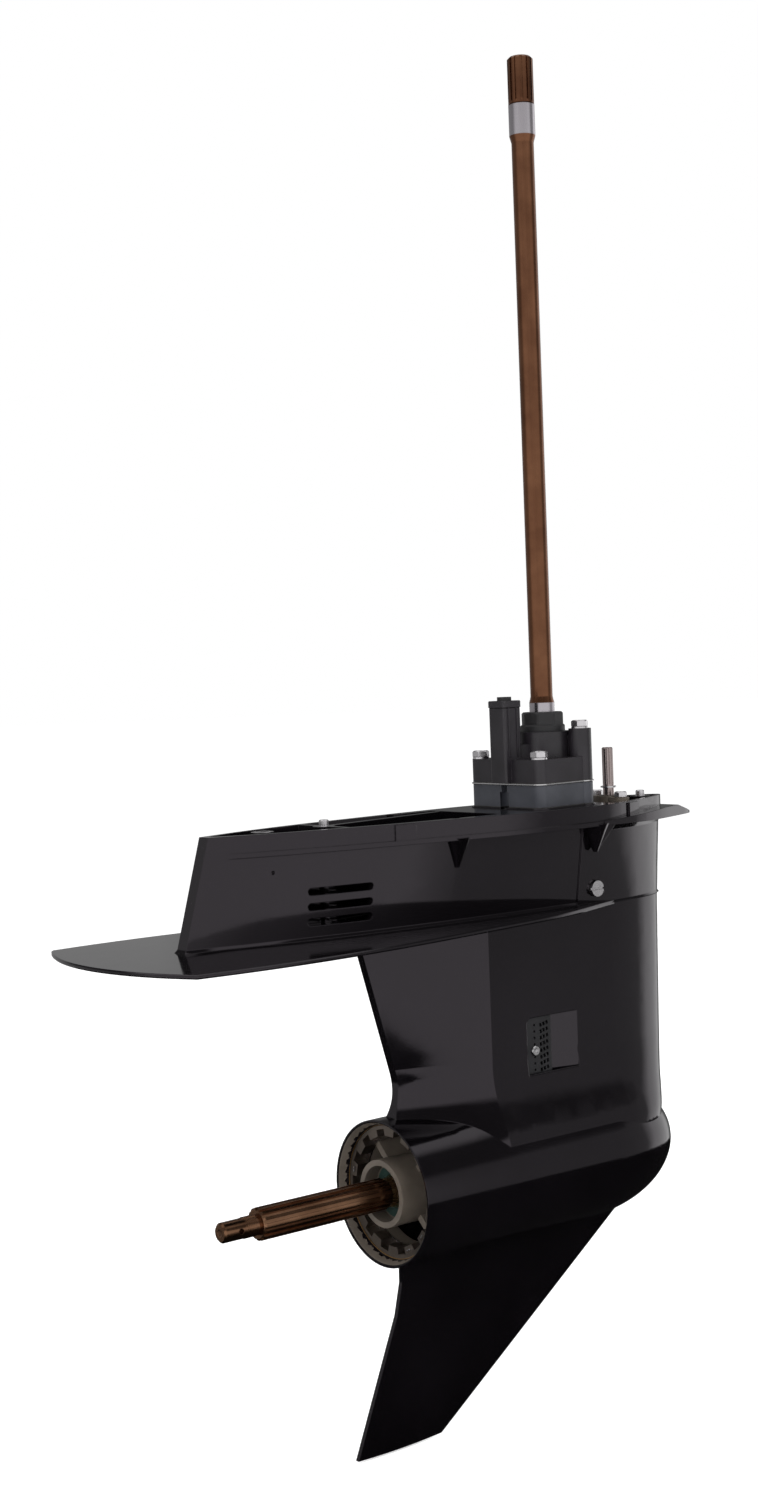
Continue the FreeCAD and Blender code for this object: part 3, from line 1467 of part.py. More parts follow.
def pump_slab(margin, z0, z1):
    # The four bolts and the round pump body share one outline.
    frame = polygon([V(x, y, z0) for x, y in pump_bolt_places])
    outline = frame.makeOffset2D(pump_ear_radius + margin)
    slab = Part.Face(outline).extrude(V(0, 0, z1 - z0))
    rounds = [rod_z(pump_boss_radius + margin, z0, z1, pump_bolt_front_x, side * pump_bolt_front_y)
              for side in (-1, 1)]
    rounds.append(rod_z(pump_block_radius + margin, z0, z1))
    return slab.fuse(rounds).removeSplitter()


def pump_bolt_holes(z0, z1):
    return [rod_z(pump_bolt_radius + bolt_gap, z0, z1, x, y) for x, y in pump_bolt_places]


def water_port(z0, z1):
    # Water comes up from the gallery here.
    return rod_z(water_port_radius, z0, z1, tower_x, 0.0)


def pump_inlet(z0, z1):
    # Water enters the impeller's room here.
    return rod_z(pump_inlet_radius, z0, z1, pump_inlet_x, 0.0)


def flat_gasket(z0, z1, bore_radius, ports):
    sheet = pump_slab(0.0, z0, z1)
    return sheet.cut(pump_bolt_holes(z0, z1) + [rod_z(bore_radius, z0, z1)] + ports)


def make_pump_base():
    slab = pump_slab(0.0, base_bottom_z, base_top_z)
    spigot = rod_z(pilot_radius, shim_thickness - spigot_length, base_bottom_z + past)
    base = slab.fuse(spigot)
    under_z = base_bottom_z - past
    over_z = base_top_z + past
    channel_z = base_top_z - channel_depth
    cutters = pump_bolt_holes(under_z, over_z)
    cutters += [rod_z(drive_journal_radius + shaft_hole_step, -spigot_length - past, over_z),
                rod_z(base_seal_radius, base_seal_bottom_z, over_z), water_port(under_z, channel_z + past),
                box(tower_x - pump_inlet_radius, pump_inlet_x + pump_inlet_radius, -pump_inlet_radius,
                    pump_inlet_radius, channel_z, over_z)]
    return base.cut(cutters)


def make_base_seals():
    seals = []
    for step in range(2):
        z0 = base_seal_bottom_z + step * (base_seal_height + base_seal_gap)
        seals.append(ring_z(base_seal_radius, drive_journal_radius + running_gap, z0,
                            z0 + base_seal_height))
    return seals


def make_wear_plate():
    plate = pump_slab(wear_plate_margin, plate_bottom_z, plate_top_z)
    return plate.cut(pump_bolt_holes(plate_bottom_z, plate_top_z)
                     + [rod_z(drive_journal_radius + shaft_hole_step, plate_bottom_z, plate_top_z),
                        pump_inlet(plate_bottom_z, plate_top_z)])


def make_pump_housing():
    z0 = housing_bottom_z
    block = pump_slab(0.0, z0, pump_block_top_z)
    dome = rod_z(pump_dome_radius, z0, pump_dome_top_z)
    bosses = []
    for side in (-1, 1):
        bosses.append(rod_z(pump_boss_radius, z0, pump_front_top_z, pump_bolt_front_x,
                            side * pump_bolt_front_y))
    half_wing = wing_width / 2
    wing = box(pump_bolt_front_x - half_wing, pump_bolt_front_x + half_wing, -pump_bolt_front_y,
               pump_bolt_front_y, z0, pump_dome_top_z - wing_drop)
    half = tower_size / 2
    tower = box(tower_x - half, tower_x + half, -half, half, z0, tower_top_z)
    upright = [edge for edge in tower.Edges if edge.BoundBox.ZLength > past]
    tower = tower.makeFillet(tower_corner_radius, upright)
    bridge = box(tower_x, 0.0, -bridge_width / 2, bridge_width / 2, z0, pump_dome_top_z - bridge_drop)
    housing = block.fuse([dome, tower, bridge, wing] + bosses)
    cutters = [rod_z(liner_outer_radius + running_gap, z0 - past, z0 + liner_height, liner_offset, 0.0),
               rod_z(drive_journal_radius + housing_bore_step, z0, pump_dome_top_z + past),
               rod_z(tower_bore_radius, z0 + tower_floor, tower_top_z + past, tower_x, 0.0),
               box(tower_x, outlet_reach - liner_outer_radius, -outlet_width / 2, outlet_width / 2,
                   z0 + outlet_floor, z0 + liner_height - outlet_roof),
               pump_top_step()]
    for x, y in pump_bolt_places:
        cutters.append(rod_z(pump_bolt_radius + bolt_gap, z0 - past, pump_front_top_z + past, x, y))
    return housing.cut(cutters)


def pump_top_step():
    # The tower narrows a little near its top.
    over = tower_size / 2 + past
    core = tower_size / 2 - tower_step
    top_z = tower_top_z + past
    outer = box(tower_x - over, tower_x + over, -over, over, tower_step_z, top_z)
    return outer.cut(box(tower_x - core, tower_x + core, -core, core, tower_step_z, top_z))


def make_liner():
    z0 = housing_bottom_z
    cup = rod_z(liner_outer_radius, z0, z0 + liner_height, liner_offset, 0.0)
    inside = rod_z(liner_outer_radius - liner_wall, z0 - past, z0 + liner_height - liner_wall,
                   liner_offset, 0.0)
    hole = rod_z(drive_journal_radius + housing_bore_step, z0, z0 + liner_height + past)
    outlet = box(-liner_outer_radius - outlet_reach, 2 * outlet_reach - liner_outer_radius,
                 -outlet_width / 2, outlet_width / 2, z0 + outlet_floor, z0 + liner_height - outlet_roof)
    return cup.cut([inside, hole, outlet])


def make_boot():
    z0 = pump_dome_top_z
    bore = drive_journal_radius + shaft_hole_step
    waist = collar_radius - boot_step
    waist_z = z0 + boot_skirt_height + past
    boot = revolve_z([(bore, z0), (collar_radius, z0), (collar_radius, waist_z - past), (waist, waist_z),
                      (waist, collar_top_z - boot_chamfer), (waist - boot_chamfer, collar_top_z),
                      (bore, collar_top_z)])
    flat = box(collar_radius - boot_flat_depth, collar_radius + past, -collar_radius, collar_radius,
               waist_z, collar_top_z + past)
    return boot.cut(around_z(flat, boot_flats, boot_flat_turn))


def make_grommet():
    sleeve = ring_z(tower_bore_radius, grommet_inner_radius, tower_top_z - grommet_length, tower_top_z,
                    tower_x, 0.0)
    lip = ring_z(tower_bore_radius - grommet_lip_step, grommet_inner_radius, tower_top_z,
                 tower_top_z + grommet_lip_height, tower_x, 0.0)
    return sleeve.fuse(lip)


def bolt_seat(x):
    return pump_front_top_z if x > 0 else pump_block_top_z


def make_pump_bolts():
    bolts = []
    for x, y in pump_bolt_places:
        seat_z = bolt_seat(x) + pump_washer_thickness
        head = hexagon(bolt_head_flats, seat_z, seat_z + bolt_head_height, x, y)
        shank = rod_z(pump_bolt_radius, -pump_bolt_reach, seat_z, x, y)
        bolts.append(head.fuse(shank))
    return bolts


def make_pump_washers():
    return [ring_z(pump_washer_radius, pump_bolt_radius + running_gap, bolt_seat(x),
                   bolt_seat(x) + pump_washer_thickness, x, y) for x, y in pump_bolt_places]


def make_parts():
    seals_x = [ring_x(seal_radius, shaft_radius + running_gap, seal_rear_x + step * seal_width,
                      seal_rear_x + (step + 1) * seal_width - seal_gap) for step in range(2)]
    lower = raised(roller_bearing(pinion_journal_radius, lower_bearing_radius, lower_bearing_length,
                                  lower_rollers), lower_bearing_bottom_z)
    upper = raised(roller_bearing(drive_bearing_radius, upper_bearing_radius, upper_bearing_length,
                                  upper_rollers), -spigot_length - upper_bearing_length)
    forward = along_x(roller_bearing(hub_radius, forward_bearing_radius, forward_bearing_length,
                                     hub_rollers), gear_room_front_x)
    reverse = along_x(roller_bearing(hub_radius, forward_bearing_radius, reverse_bearing_length,
                                     hub_rollers), carrier_front_x - reverse_bearing_length)
    needle = along_x(roller_bearing(shaft_radius, needle_radius, needle_length, needle_rollers),
                     needle_rear_x)
    level_place, drain_place = plug_places
    return {
        "gearcase_housing": [make_housing()],
        "water_screen_starboard": [make_screen(-1)],
        "water_screen_port": [make_screen(1)],
        "screen_screw": [make_screen_screw()],
        "screen_nut": [make_screen_nut()],
        "oil_level_plug": [make_plug(*level_place)],
        "oil_drain_plug": [make_plug(*drain_place)],
        "plug_gaskets": [make_plug_gasket(*place) for place in plug_places],
        "dowel_pins": make_dowels(),
        "bearing_carrier": [make_carrier()],
        "carrier_o_ring": [make_o_ring()],
        "reverse_bearing": reverse,
        "prop_shaft_bearing": needle,
        "prop_shaft_seals": seals_x,
        "tab_washer": [make_tab_washer()],
        "cover_nut": [make_cover_nut()],
        "forward_bearing": forward,
        "pinion_bearing": lower,
        "drive_shaft_bearing": upper,
        "bearing_shims": [ring_z(upper_bearing_radius, drive_bearing_radius + shim_wall, -spigot_length,
                                 shim_thickness - spigot_length)],
        "base_gasket": [flat_gasket(pump_pad_height, base_bottom_z, pilot_radius + seat_sink,
                                    [water_port(pump_pad_height, base_bottom_z)])],
        "pump_base": [make_pump_base()],
        "drive_shaft_seals": make_base_seals(),
        "plate_gasket": [flat_gasket(base_top_z, plate_bottom_z, base_seal_radius,
                                     [pump_inlet(base_top_z, plate_bottom_z)])],
        "wear_plate": [make_wear_plate()],
        "housing_gasket": [flat_gasket(plate_top_z, housing_bottom_z,
                                       liner_outer_radius + liner_offset, [])],
        "pump_housing": [make_pump_housing()],
        "pump_liner": [make_liner()],
        "pump_bolts": make_pump_bolts(),
        "pump_washers": make_pump_washers(),
        "shaft_boot": [make_boot()],
        "water_tube_grommet": [make_grommet()],
        "shift_rod_retainer": [make_retainer()],
        "retainer_bolts": make_retainer_bolts(),
        "shift_rod_seal": [ring_z(shift_seal_radius, shift_rod_radius + running_gap,
                                  retainer_top_z - shift_seal_height, retainer_top_z, shift_x, 0.0)],
        "drive_shaft": [make_drive_shaft()],
        "pinion_gear": [make_pinion()],
        "pinion_nut": [make_pinion_nut()],
        "impeller": [make_impeller()],
        "impeller_key": [impeller_key_box()],
        "forward_gear": [make_side_gear(True)],
        "forward_gear_bush": [make_gear_bush(True)],
        "reverse_gear": [make_side_gear(False)],
        "reverse_gear_bush": [make_gear_bush(False)],
        "prop_shaft": [make_prop_shaft()],
        "dog_clutch": [make_dog_clutch()],
        "clutch_pin": [make_clutch_pin()],
        "clutch_ring": [make_clutch_ring()],
        "shift_slider": [make_shift_slider()],
        "shift_follower": [make_shift_follower()],
        "shift_rod": [make_shift_rod()],
        "circlip": [make_circlip()],
        "shift_cam": [make_shift_cam()],
    }


for name, pieces in make_parts().items():
    shape = pieces[0] if len(pieces) == 1 else Part.makeCompound(pieces)
    shape.exportStep("parts/" + name + ".step")
    print(name, "valid", shape.isValid(), "solids", len(shape.Solids), "volume", round(shape.Volume))
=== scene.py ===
import math

import bmesh
import bpy
from mathutils import Matrix, Vector


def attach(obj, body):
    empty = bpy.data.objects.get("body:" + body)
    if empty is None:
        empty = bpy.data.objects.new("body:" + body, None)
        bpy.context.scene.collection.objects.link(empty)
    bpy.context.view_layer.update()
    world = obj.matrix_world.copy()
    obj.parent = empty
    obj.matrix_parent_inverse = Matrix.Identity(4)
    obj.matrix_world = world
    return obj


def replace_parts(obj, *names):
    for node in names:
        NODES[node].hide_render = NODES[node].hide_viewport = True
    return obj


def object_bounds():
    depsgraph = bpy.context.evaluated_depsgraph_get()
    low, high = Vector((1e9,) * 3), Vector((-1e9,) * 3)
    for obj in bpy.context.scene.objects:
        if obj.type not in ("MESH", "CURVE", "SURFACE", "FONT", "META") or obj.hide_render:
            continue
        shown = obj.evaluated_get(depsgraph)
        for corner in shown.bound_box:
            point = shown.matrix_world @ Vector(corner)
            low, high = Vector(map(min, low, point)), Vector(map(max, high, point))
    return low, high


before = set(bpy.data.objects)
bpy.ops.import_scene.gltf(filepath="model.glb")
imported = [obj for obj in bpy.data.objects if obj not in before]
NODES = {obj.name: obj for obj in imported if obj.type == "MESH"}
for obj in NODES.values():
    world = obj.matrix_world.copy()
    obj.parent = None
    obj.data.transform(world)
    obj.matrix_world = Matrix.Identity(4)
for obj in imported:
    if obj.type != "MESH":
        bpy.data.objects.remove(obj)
CAD_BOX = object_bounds()
MM = 0.001

# The photograph's camera: its place round the part, its tilt, its distance and its lens.
CAMERA_AZIMUTH = math.radians(-38.527)
CAMERA_ELEVATION = math.radians(2.227)
CAMERA_ROLL = math.radians(-2.15)
CAMERA_DISTANCE = 1.7525
CAMERA_SHIFT_RIGHT = 0.1448
CAMERA_SHIFT_UP = -0.0411
CAMERA_RAISED = 0.0065
CAMERA_LENS = 48.22
CAMERA_SENSOR = 36.0

# The floor lies under the skeg. The studio's flags and soft lights stand on a dome that
# only reflections see: levels by height and by the way they face.
FLOOR_GAP = 0.002
FLOOR_SIZE = 30.0
FLOOR_GLOW = 0.5
DOME_RADIUS = 20.0
TABLE_RADIUS = 1.0
TABLE_LEVEL = 0.01
WHITE_LEVEL = 1.0
SKY_LEVEL = 0.62
SIDE_LEVEL = 0.85
FLAG_LEVEL = 0.3
BOW_LEVEL = 1.1
TOP_LEVEL = 0.85
GAP_LEVEL = 0.08

# Places on the part, in millimetres, as the solids have them.
PROP_AXIS_Z = -305.0
RIM_X = -198.0
SPLINE_REAR_X = -323.0
PROP_TIP_X = -357.0
THREAD_RADIUS = 8.0
NUT_REAR_X = -188.0
NUT_RADIUS = 54.5
NUT_INNER_RADIUS = 45.5
SHIFT_X = 78.0
TOWER_X = -44.0
TAB_BOLT_X = -302.0
TAB_NOTCHES = (206.0, 232.0, 77.0, 308.0)
TAB_SECTIONS = ((-176.0, 0.0, 3.2), (-182.0, -0.1, 3.2), (-187.0, -0.5, 3.0), (-189.2, -1.4, 2.2))
TAB_CENTRE_OUT = 5.2
TAB_THICKNESS = 1.1
PUMP_BOLTS = ((-40.0, -37.0, 43.6), (14.5, -31.0, 67.6), (14.5, 31.0, 67.6), (-40.0, 37.0, 43.6))
PUMP_HEAD = (13.0, 5.5, 3.0, 56.0)
RETAINER_BOLTS = ((SHIFT_X - 4.0, -19.0, 2.0), (SHIFT_X + 4.0, 19.0, 2.0))
RETAINER_HEAD = (10.0, 5.0, 3.0, 26.0)
SCREEN_SCREW_X = -52.5
SCREEN_SCREW_Z = -204.5
SCREEN_FACE_Y = 32.8
BEVEL_SAMPLES = 4
SMOOTH_ANGLE = 35.0

# Each lamp: name, place, what it looks at, width and height, watts.
MIDDLE = (-0.1, 0, 0)
LAMPS = (
    ("key", (-0.6, -2.2, 2.2), MIDDLE, (1.6, 1.6), 40),
    ("fill", (2.2, -1.6, 1.0), MIDDLE, (1.4, 2.0), 22),
    ("back", (-0.5, 2.4, 1.6), MIDDLE, (1.6, 1.6), 22),
    ("rear", (-2.2, -0.9, 0.2), (-0.2, 0, -0.3), (0.8, 0.8), 26),
)


def make_camera():
    data = bpy.data.cameras.new("camera")
    data.sensor_width = CAMERA_SENSOR
    data.lens = CAMERA_LENS
    camera = bpy.data.objects.new("camera", data)
    bpy.context.scene.collection.objects.link(camera)
    back = Vector((
        math.sin(CAMERA_AZIMUTH) * math.cos(CAMERA_ELEVATION),
        -math.cos(CAMERA_AZIMUTH) * math.cos(CAMERA_ELEVATION),
        math.sin(CAMERA_ELEVATION),
    ))
    right = (-back).cross(Vector((0, 0, 1))).normalized()
    up = right.cross(-back)
    turn = Matrix.Rotation(CAMERA_ROLL, 3, back)
    right = turn @ right
    up = turn @ up
    place = back * CAMERA_DISTANCE - right * CAMERA_SHIFT_RIGHT - up * CAMERA_SHIFT_UP
    place.z += CAMERA_RAISED
    axes = Matrix((right, up, back)).transposed()
    camera.matrix_world = Matrix.Translation(place) @ axes.to_4x4()
    bpy.context.scene.camera = camera


def link(name, mesh):
    piece = bpy.data.objects.new(name, mesh)
    bpy.context.scene.collection.objects.link(piece)
    return piece


def piece_from(name, build, body, slot):
    """One new piece from a bmesh that `build` fills in millimetres, riding on a body."""
    shape = bmesh.new()
    build(shape)
    bmesh.ops.recalc_face_normals(shape, faces=shape.faces)
    bmesh.ops.scale(shape, vec=(MM, MM, MM), verts=shape.verts)
    mesh = bpy.data.meshes.new(name)
    shape.to_mesh(mesh)
    shape.free()
    for face in mesh.polygons:
        face.use_smooth = True
    mesh.set_sharp_from_angle(angle=math.radians(SMOOTH_ANGLE))
    piece = link(name, mesh)
    mesh.materials.append(MATERIALS[slot])
    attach(piece, body)
    return piece


def bridge(shape, loops, ends=True, ring=False):
    """Joins loops of equal count. `ends` caps the first and last, `ring` joins last to first."""
    rows = [[shape.verts.new(point) for point in loop] for loop in loops]
    pairs = list(zip(rows, rows[1:]))
    if ring:
        pairs.append((rows[-1], rows[0]))
    count = len(rows[0])
    for first, second in pairs:
        for step in range(count):
            after = (step + 1) % count
            shape.faces.new((first[step], first[after], second[after], second[step]))
    if ends and not ring:
        shape.faces.new(list(reversed(rows[0])))
        shape.faces.new(rows[-1])


def turned(shape, profile, place, sides=48, ring=False):
    """A turned form. The profile is (radius, height) pairs along the axis of `place`."""
    loops = []
    for radius, height in profile:
        loops.append([place @ Vector((radius * math.cos(2 * math.pi * step / sides),
                                      radius * math.sin(2 * math.pi * step / sides), height))
                      for step in range(sides)])
    bridge(shape, loops, ring=ring)


def upright(x, y, z=0.0):
    return Matrix.Translation((x, y, z))


def along_prop():
    """Heights run towards the bow, from x = 0 on the propeller shaft's axis."""
    return Matrix.Translation((0, 0, PROP_AXIS_Z)) @ Matrix.Rotation(math.radians(90), 4, "Y")


def out_of_side(x, y, z, side):
    """Heights run out of the starboard side (-1) or the port side (1)."""
    return Matrix.Translation((x, y, z)) @ Matrix.Rotation(math.radians(-90 * side), 4, "X")


def hexagon_radius(flats, angle):
    part = (math.degrees(angle) + 30.0) % 60.0 - 30.0
    return flats / 2 / math.cos(math.radians(part))


def hexagon_loop(flats, height, place, sides=24, lean=0.0):
    """A hexagon with many points. `lean` lowers its corners, as a chamfer does."""
    loop = []
    for step in range(sides):
        angle = 2 * math.pi * step / sides
        radius = hexagon_radius(flats, angle)
        loop.append(place @ Vector((radius * math.cos(angle), radius * math.sin(angle),
                                    height - lean * (radius - flats / 2))))
    return loop


def circle_loop(radius, height, place, sides=24):
    return [place @ Vector((radius * math.cos(2 * math.pi * step / sides),
                            radius * math.sin(2 * math.pi * step / sides), height))
            for step in range(sides)]


def hex_bolt(shape, place, flats, height, shank_radius, shank_length):
    """A head chamfered at its corners, a shallow dish in its top and a shank below."""
    bridge(shape, [
        circle_loop(shank_radius, -shank_length, place),
        circle_loop(shank_radius, 0.0, place),
        circle_loop(flats * 0.46, 0.0, place),
        hexagon_loop(flats, 0.35, place),
        hexagon_loop(flats, height - 0.45, place, lean=0.6),
        circle_loop(flats * 0.465, height, place),
        circle_loop(flats * 0.34, height, place),
        circle_loop(flats * 0.30, height - 0.45, place),
    ])


def thread(shape, place, radius, start, end, pitch, height, turn_sides=28):
    """A helical ridge of triangular section."""
    count = int((end - start) / pitch * turn_sides)
    rows = []
    for step in range(count + 1):
        angle = 2 * math.pi * step / turn_sides
        middle = start + pitch * step / turn_sides
        grow = min(1.0, step / turn_sides, (count - step) / turn_sides)
        section = []
        for reach, across in ((-0.1, -0.42), (max(height * grow, 0.01), 0.0), (-0.1, 0.42)):
            section.append(shape.verts.new(place @ Vector((
                (radius + reach) * math.cos(angle), (radius + reach) * math.sin(angle),
                middle + across * pitch))))
        rows.append(section)
    for first, second in zip(rows, rows[1:]):
        for step in range(3):
            after = (step + 1) % 3
            shape.faces.new((first[step], first[after], second[after], second[step]))
    shape.faces.new(rows[0])
    shape.faces.new(list(reversed(rows[-1])))


def rounded_square(half, corner, height, place, sides=24):
    """A square loop with round corners, with the same count as a circle loop."""
    loop = []
    per_corner = sides // 4
    for quarter in range(4):
        centre_angle = math.radians(45 + 90 * quarter)
        centre = Vector((math.copysign(half - corner, math.cos(centre_angle)),
                         math.copysign(half - corner, math.sin(centre_angle)), height))
        for step in range(per_corner):
            angle = math.radians(90 * quarter + 90 * step / (per_corner - 1))
            reach = Vector((corner * math.cos(angle), corner * math.sin(angle), 0))
            loop.append(place @ (centre + reach))
    return loop


class Nodes:
    """A short way to add nodes to a material or a world."""

    def __init__(self, tree):
        self.tree = tree
        tree.nodes.clear()

    def add(self, kind, **inputs):
        node = self.tree.nodes.new(kind)
        for name, value in inputs.items():
            self.set(node, name.replace("_", " "), value)
        return node

    def set(self, node, name, value):
        socket = node.inputs[name]
        if isinstance(value, bpy.types.NodeSocket):
            self.tree.links.new(value, socket)
        else:
            socket.default_value = value

    def join(self, source, target):
        self.tree.links.new(source, target)


def shade(value):
    return (value, value, value, 1.0)


def noise(nodes, where, scale, detail=3.0, roughness=0.55):
    made = nodes.add("ShaderNodeTexNoise", Vector=where, Scale=scale, Detail=detail, Roughness=roughness)
    return made.outputs["Fac"]


def spread(nodes, value, low, high, from_low=0.3, from_high=0.7):
    made = nodes.add("ShaderNodeMapRange", Value=value)
    nodes.set(made, "From Min", from_low)
    nodes.set(made, "From Max", from_high)
    nodes.set(made, "To Min", low)
    nodes.set(made, "To Max", high)
    return made.outputs["Result"]


def tint(nodes, factor, first, second):
    """Mixes two colours, or outputs that give colours."""
    made = nodes.tree.nodes.new("ShaderNodeMix")
    made.data_type = "RGBA"
    nodes.join(factor, made.inputs[0])
    for socket, value in ((made.inputs[6], first), (made.inputs[7], second)):
        if isinstance(value, bpy.types.NodeSocket):
            nodes.join(value, socket)
        else:
            socket.default_value = value
    return made.outputs[2]


def maths(nodes, operation, first, second):
    made = nodes.tree.nodes.new("ShaderNodeMath")
    made.operation = operation
    for socket, value in zip(made.inputs, (first, second)):
        if isinstance(value, bpy.types.NodeSocket):
            nodes.join(value, socket)
        else:
            socket.default_value = value
    return made.outputs[0]


def stretched(nodes, where, scale):
    made = nodes.add("ShaderNodeMapping", Vector=where)
    made.inputs["Scale"].default_value = scale
    return made.outputs["Vector"]


def eased(nodes, radius):
    """The surface's own direction, with its edges rounded off by a small radius."""
    made = nodes.tree.nodes.new("ShaderNodeBevel")
    made.samples = BEVEL_SAMPLES
    made.inputs["Radius"].default_value = radius * MM
    return made.outputs["Normal"]


def bump(nodes, height, strength, distance, normal=None):
    made = nodes.add("ShaderNodeBump", Height=height, Strength=strength, Distance=distance)
    if normal:
        nodes.join(normal, made.inputs["Normal"])
    return made.outputs["Normal"]


def zone(nodes, coordinate, low, high, soft=0.3):
    """1 where the coordinate, in metres, lies between two places given in millimetres."""
    rise = spread(nodes, coordinate, 0.0, 1.0, (low - soft) * MM, (low + soft) * MM)
    fall = spread(nodes, coordinate, 1.0, 0.0, (high - soft) * MM, (high + soft) * MM)
    return maths(nodes, "MULTIPLY", rise, fall)


def axis_of(nodes, where, axis):
    return nodes.add("ShaderNodeSeparateXYZ", Vector=where).outputs[axis]


def new_material(name):
    material = bpy.data.materials.new(name)
    material.use_nodes = True
    nodes = Nodes(material.node_tree)
    out = nodes.add("ShaderNodeOutputMaterial")
    surface = nodes.add("ShaderNodeBsdfPrincipled")
    nodes.join(surface.outputs["BSDF"], out.inputs["Surface"])
    where = nodes.add("ShaderNodeTexCoord").outputs["Object"]
    return material, nodes, surface, where


def gloss_paint():
    """Deep black paint over a casting: orange peel, soft edges, and dust in the broad tones."""
    material, nodes, surface, where = new_material("gloss_black_paint")
    broad = noise(nodes, where, 9.0, 2.0)
    peel = noise(nodes, where, 420.0, 2.0)
    cast = noise(nodes, where, 35.0, 3.0)
    dust = noise(nodes, where, 160.0, 5.0, 0.7)
    colour = tint(nodes, spread(nodes, broad, 0.0, 1.0),
                  (0.0015, 0.0012, 0.0016, 1), (0.003, 0.0025, 0.0032, 1))
    colour = tint(nodes, spread(nodes, dust, 0.0, 0.2, 0.6, 0.8), colour, (0.012, 0.011, 0.012, 1))
    nodes.set(surface, "Base Color", colour)
    nodes.set(surface, "Roughness", spread(nodes, cast, 0.07, 0.12))
    nodes.set(surface, "IOR", 1.52)
    nodes.set(surface, "Specular Tint", (1.0, 0.9, 1.0, 1))
    nodes.set(surface, "Normal", bump(nodes, peel, 0.05, 0.0002, eased(nodes, 0.9)))
    return material


def moulded_plastic(name, dark, light, rough=(0.35, 0.5), grain=1400.0, edge=0.5):
    """Satin moulded plastic with a fine even grain."""
    material, nodes, surface, where = new_material(name)
    fine = noise(nodes, where, grain, 2.0)
    broad = noise(nodes, where, 40.0, 3.0)
    nodes.set(surface, "Base Color", tint(nodes, spread(nodes, broad, 0.0, 1.0), dark, light))
    nodes.set(surface, "Roughness", spread(nodes, fine, *rough))
    nodes.set(surface, "Normal", bump(nodes, fine, 0.25, 0.0002, eased(nodes, edge)))
    return material


def rubber(name, dark, light):
    """Moulded rubber, with a bloom on it."""
    material, nodes, surface, where = new_material(name)
    bloom = noise(nodes, where, 120.0, 4.0)
    nodes.set(surface, "Base Color", tint(nodes, spread(nodes, bloom, 0.0, 1.0), dark, light))
    nodes.set(surface, "Roughness", spread(nodes, bloom, 0.42, 0.66))
    nodes.set(surface, "Normal", bump(nodes, bloom, 0.2, 0.0002, eased(nodes, 0.6)))
    return material


def metal(name, dark, light, rough=(0.22, 0.36), streaks=(1.0, 1.0, 1.0), scale=260.0, depth=0.12,
          zones=(), edge=0.3):
    """Bare metal: tool marks stretched along one way, a broad stain, and bands of another colour: machined
    lands, and on the thrust cone a painted highlight.
    """
    material, nodes, surface, where = new_material(name)
    marks = noise(nodes, stretched(nodes, where, streaks), scale, 3.0)
    stain = noise(nodes, where, 28.0, 4.0)
    colour = tint(nodes, spread(nodes, stain, 0.0, 1.0), dark, light)
    for axis, low, high, land_and_highlight in zones:
        colour = tint(nodes, zone(nodes, axis_of(nodes, where, axis), low, high), colour, land_and_highlight)
    nodes.set(surface, "Metallic", 1.0)
    nodes.set(surface, "Base Color", colour)
    nodes.set(surface, "Roughness", spread(nodes, marks, *rough))
    nodes.set(surface, "Normal", bump(nodes, marks, depth, 0.0002, eased(nodes, edge)))
    return material


ALONG_Z = (1.0, 1.0, 0.02)
ALONG_X = (0.02, 1.0, 1.0)
LAND_SILVER = (0.52, 0.49, 0.52, 1)
# Painted highlight: the thrust cone is made a brighter gold than the rest of the propeller shaft, where it
# catches the light.
CONE_PAINTED_HIGHLIGHT = (0.6, 0.4, 0.22, 1)
ROD_SILVER = (0.42, 0.35, 0.34, 1)

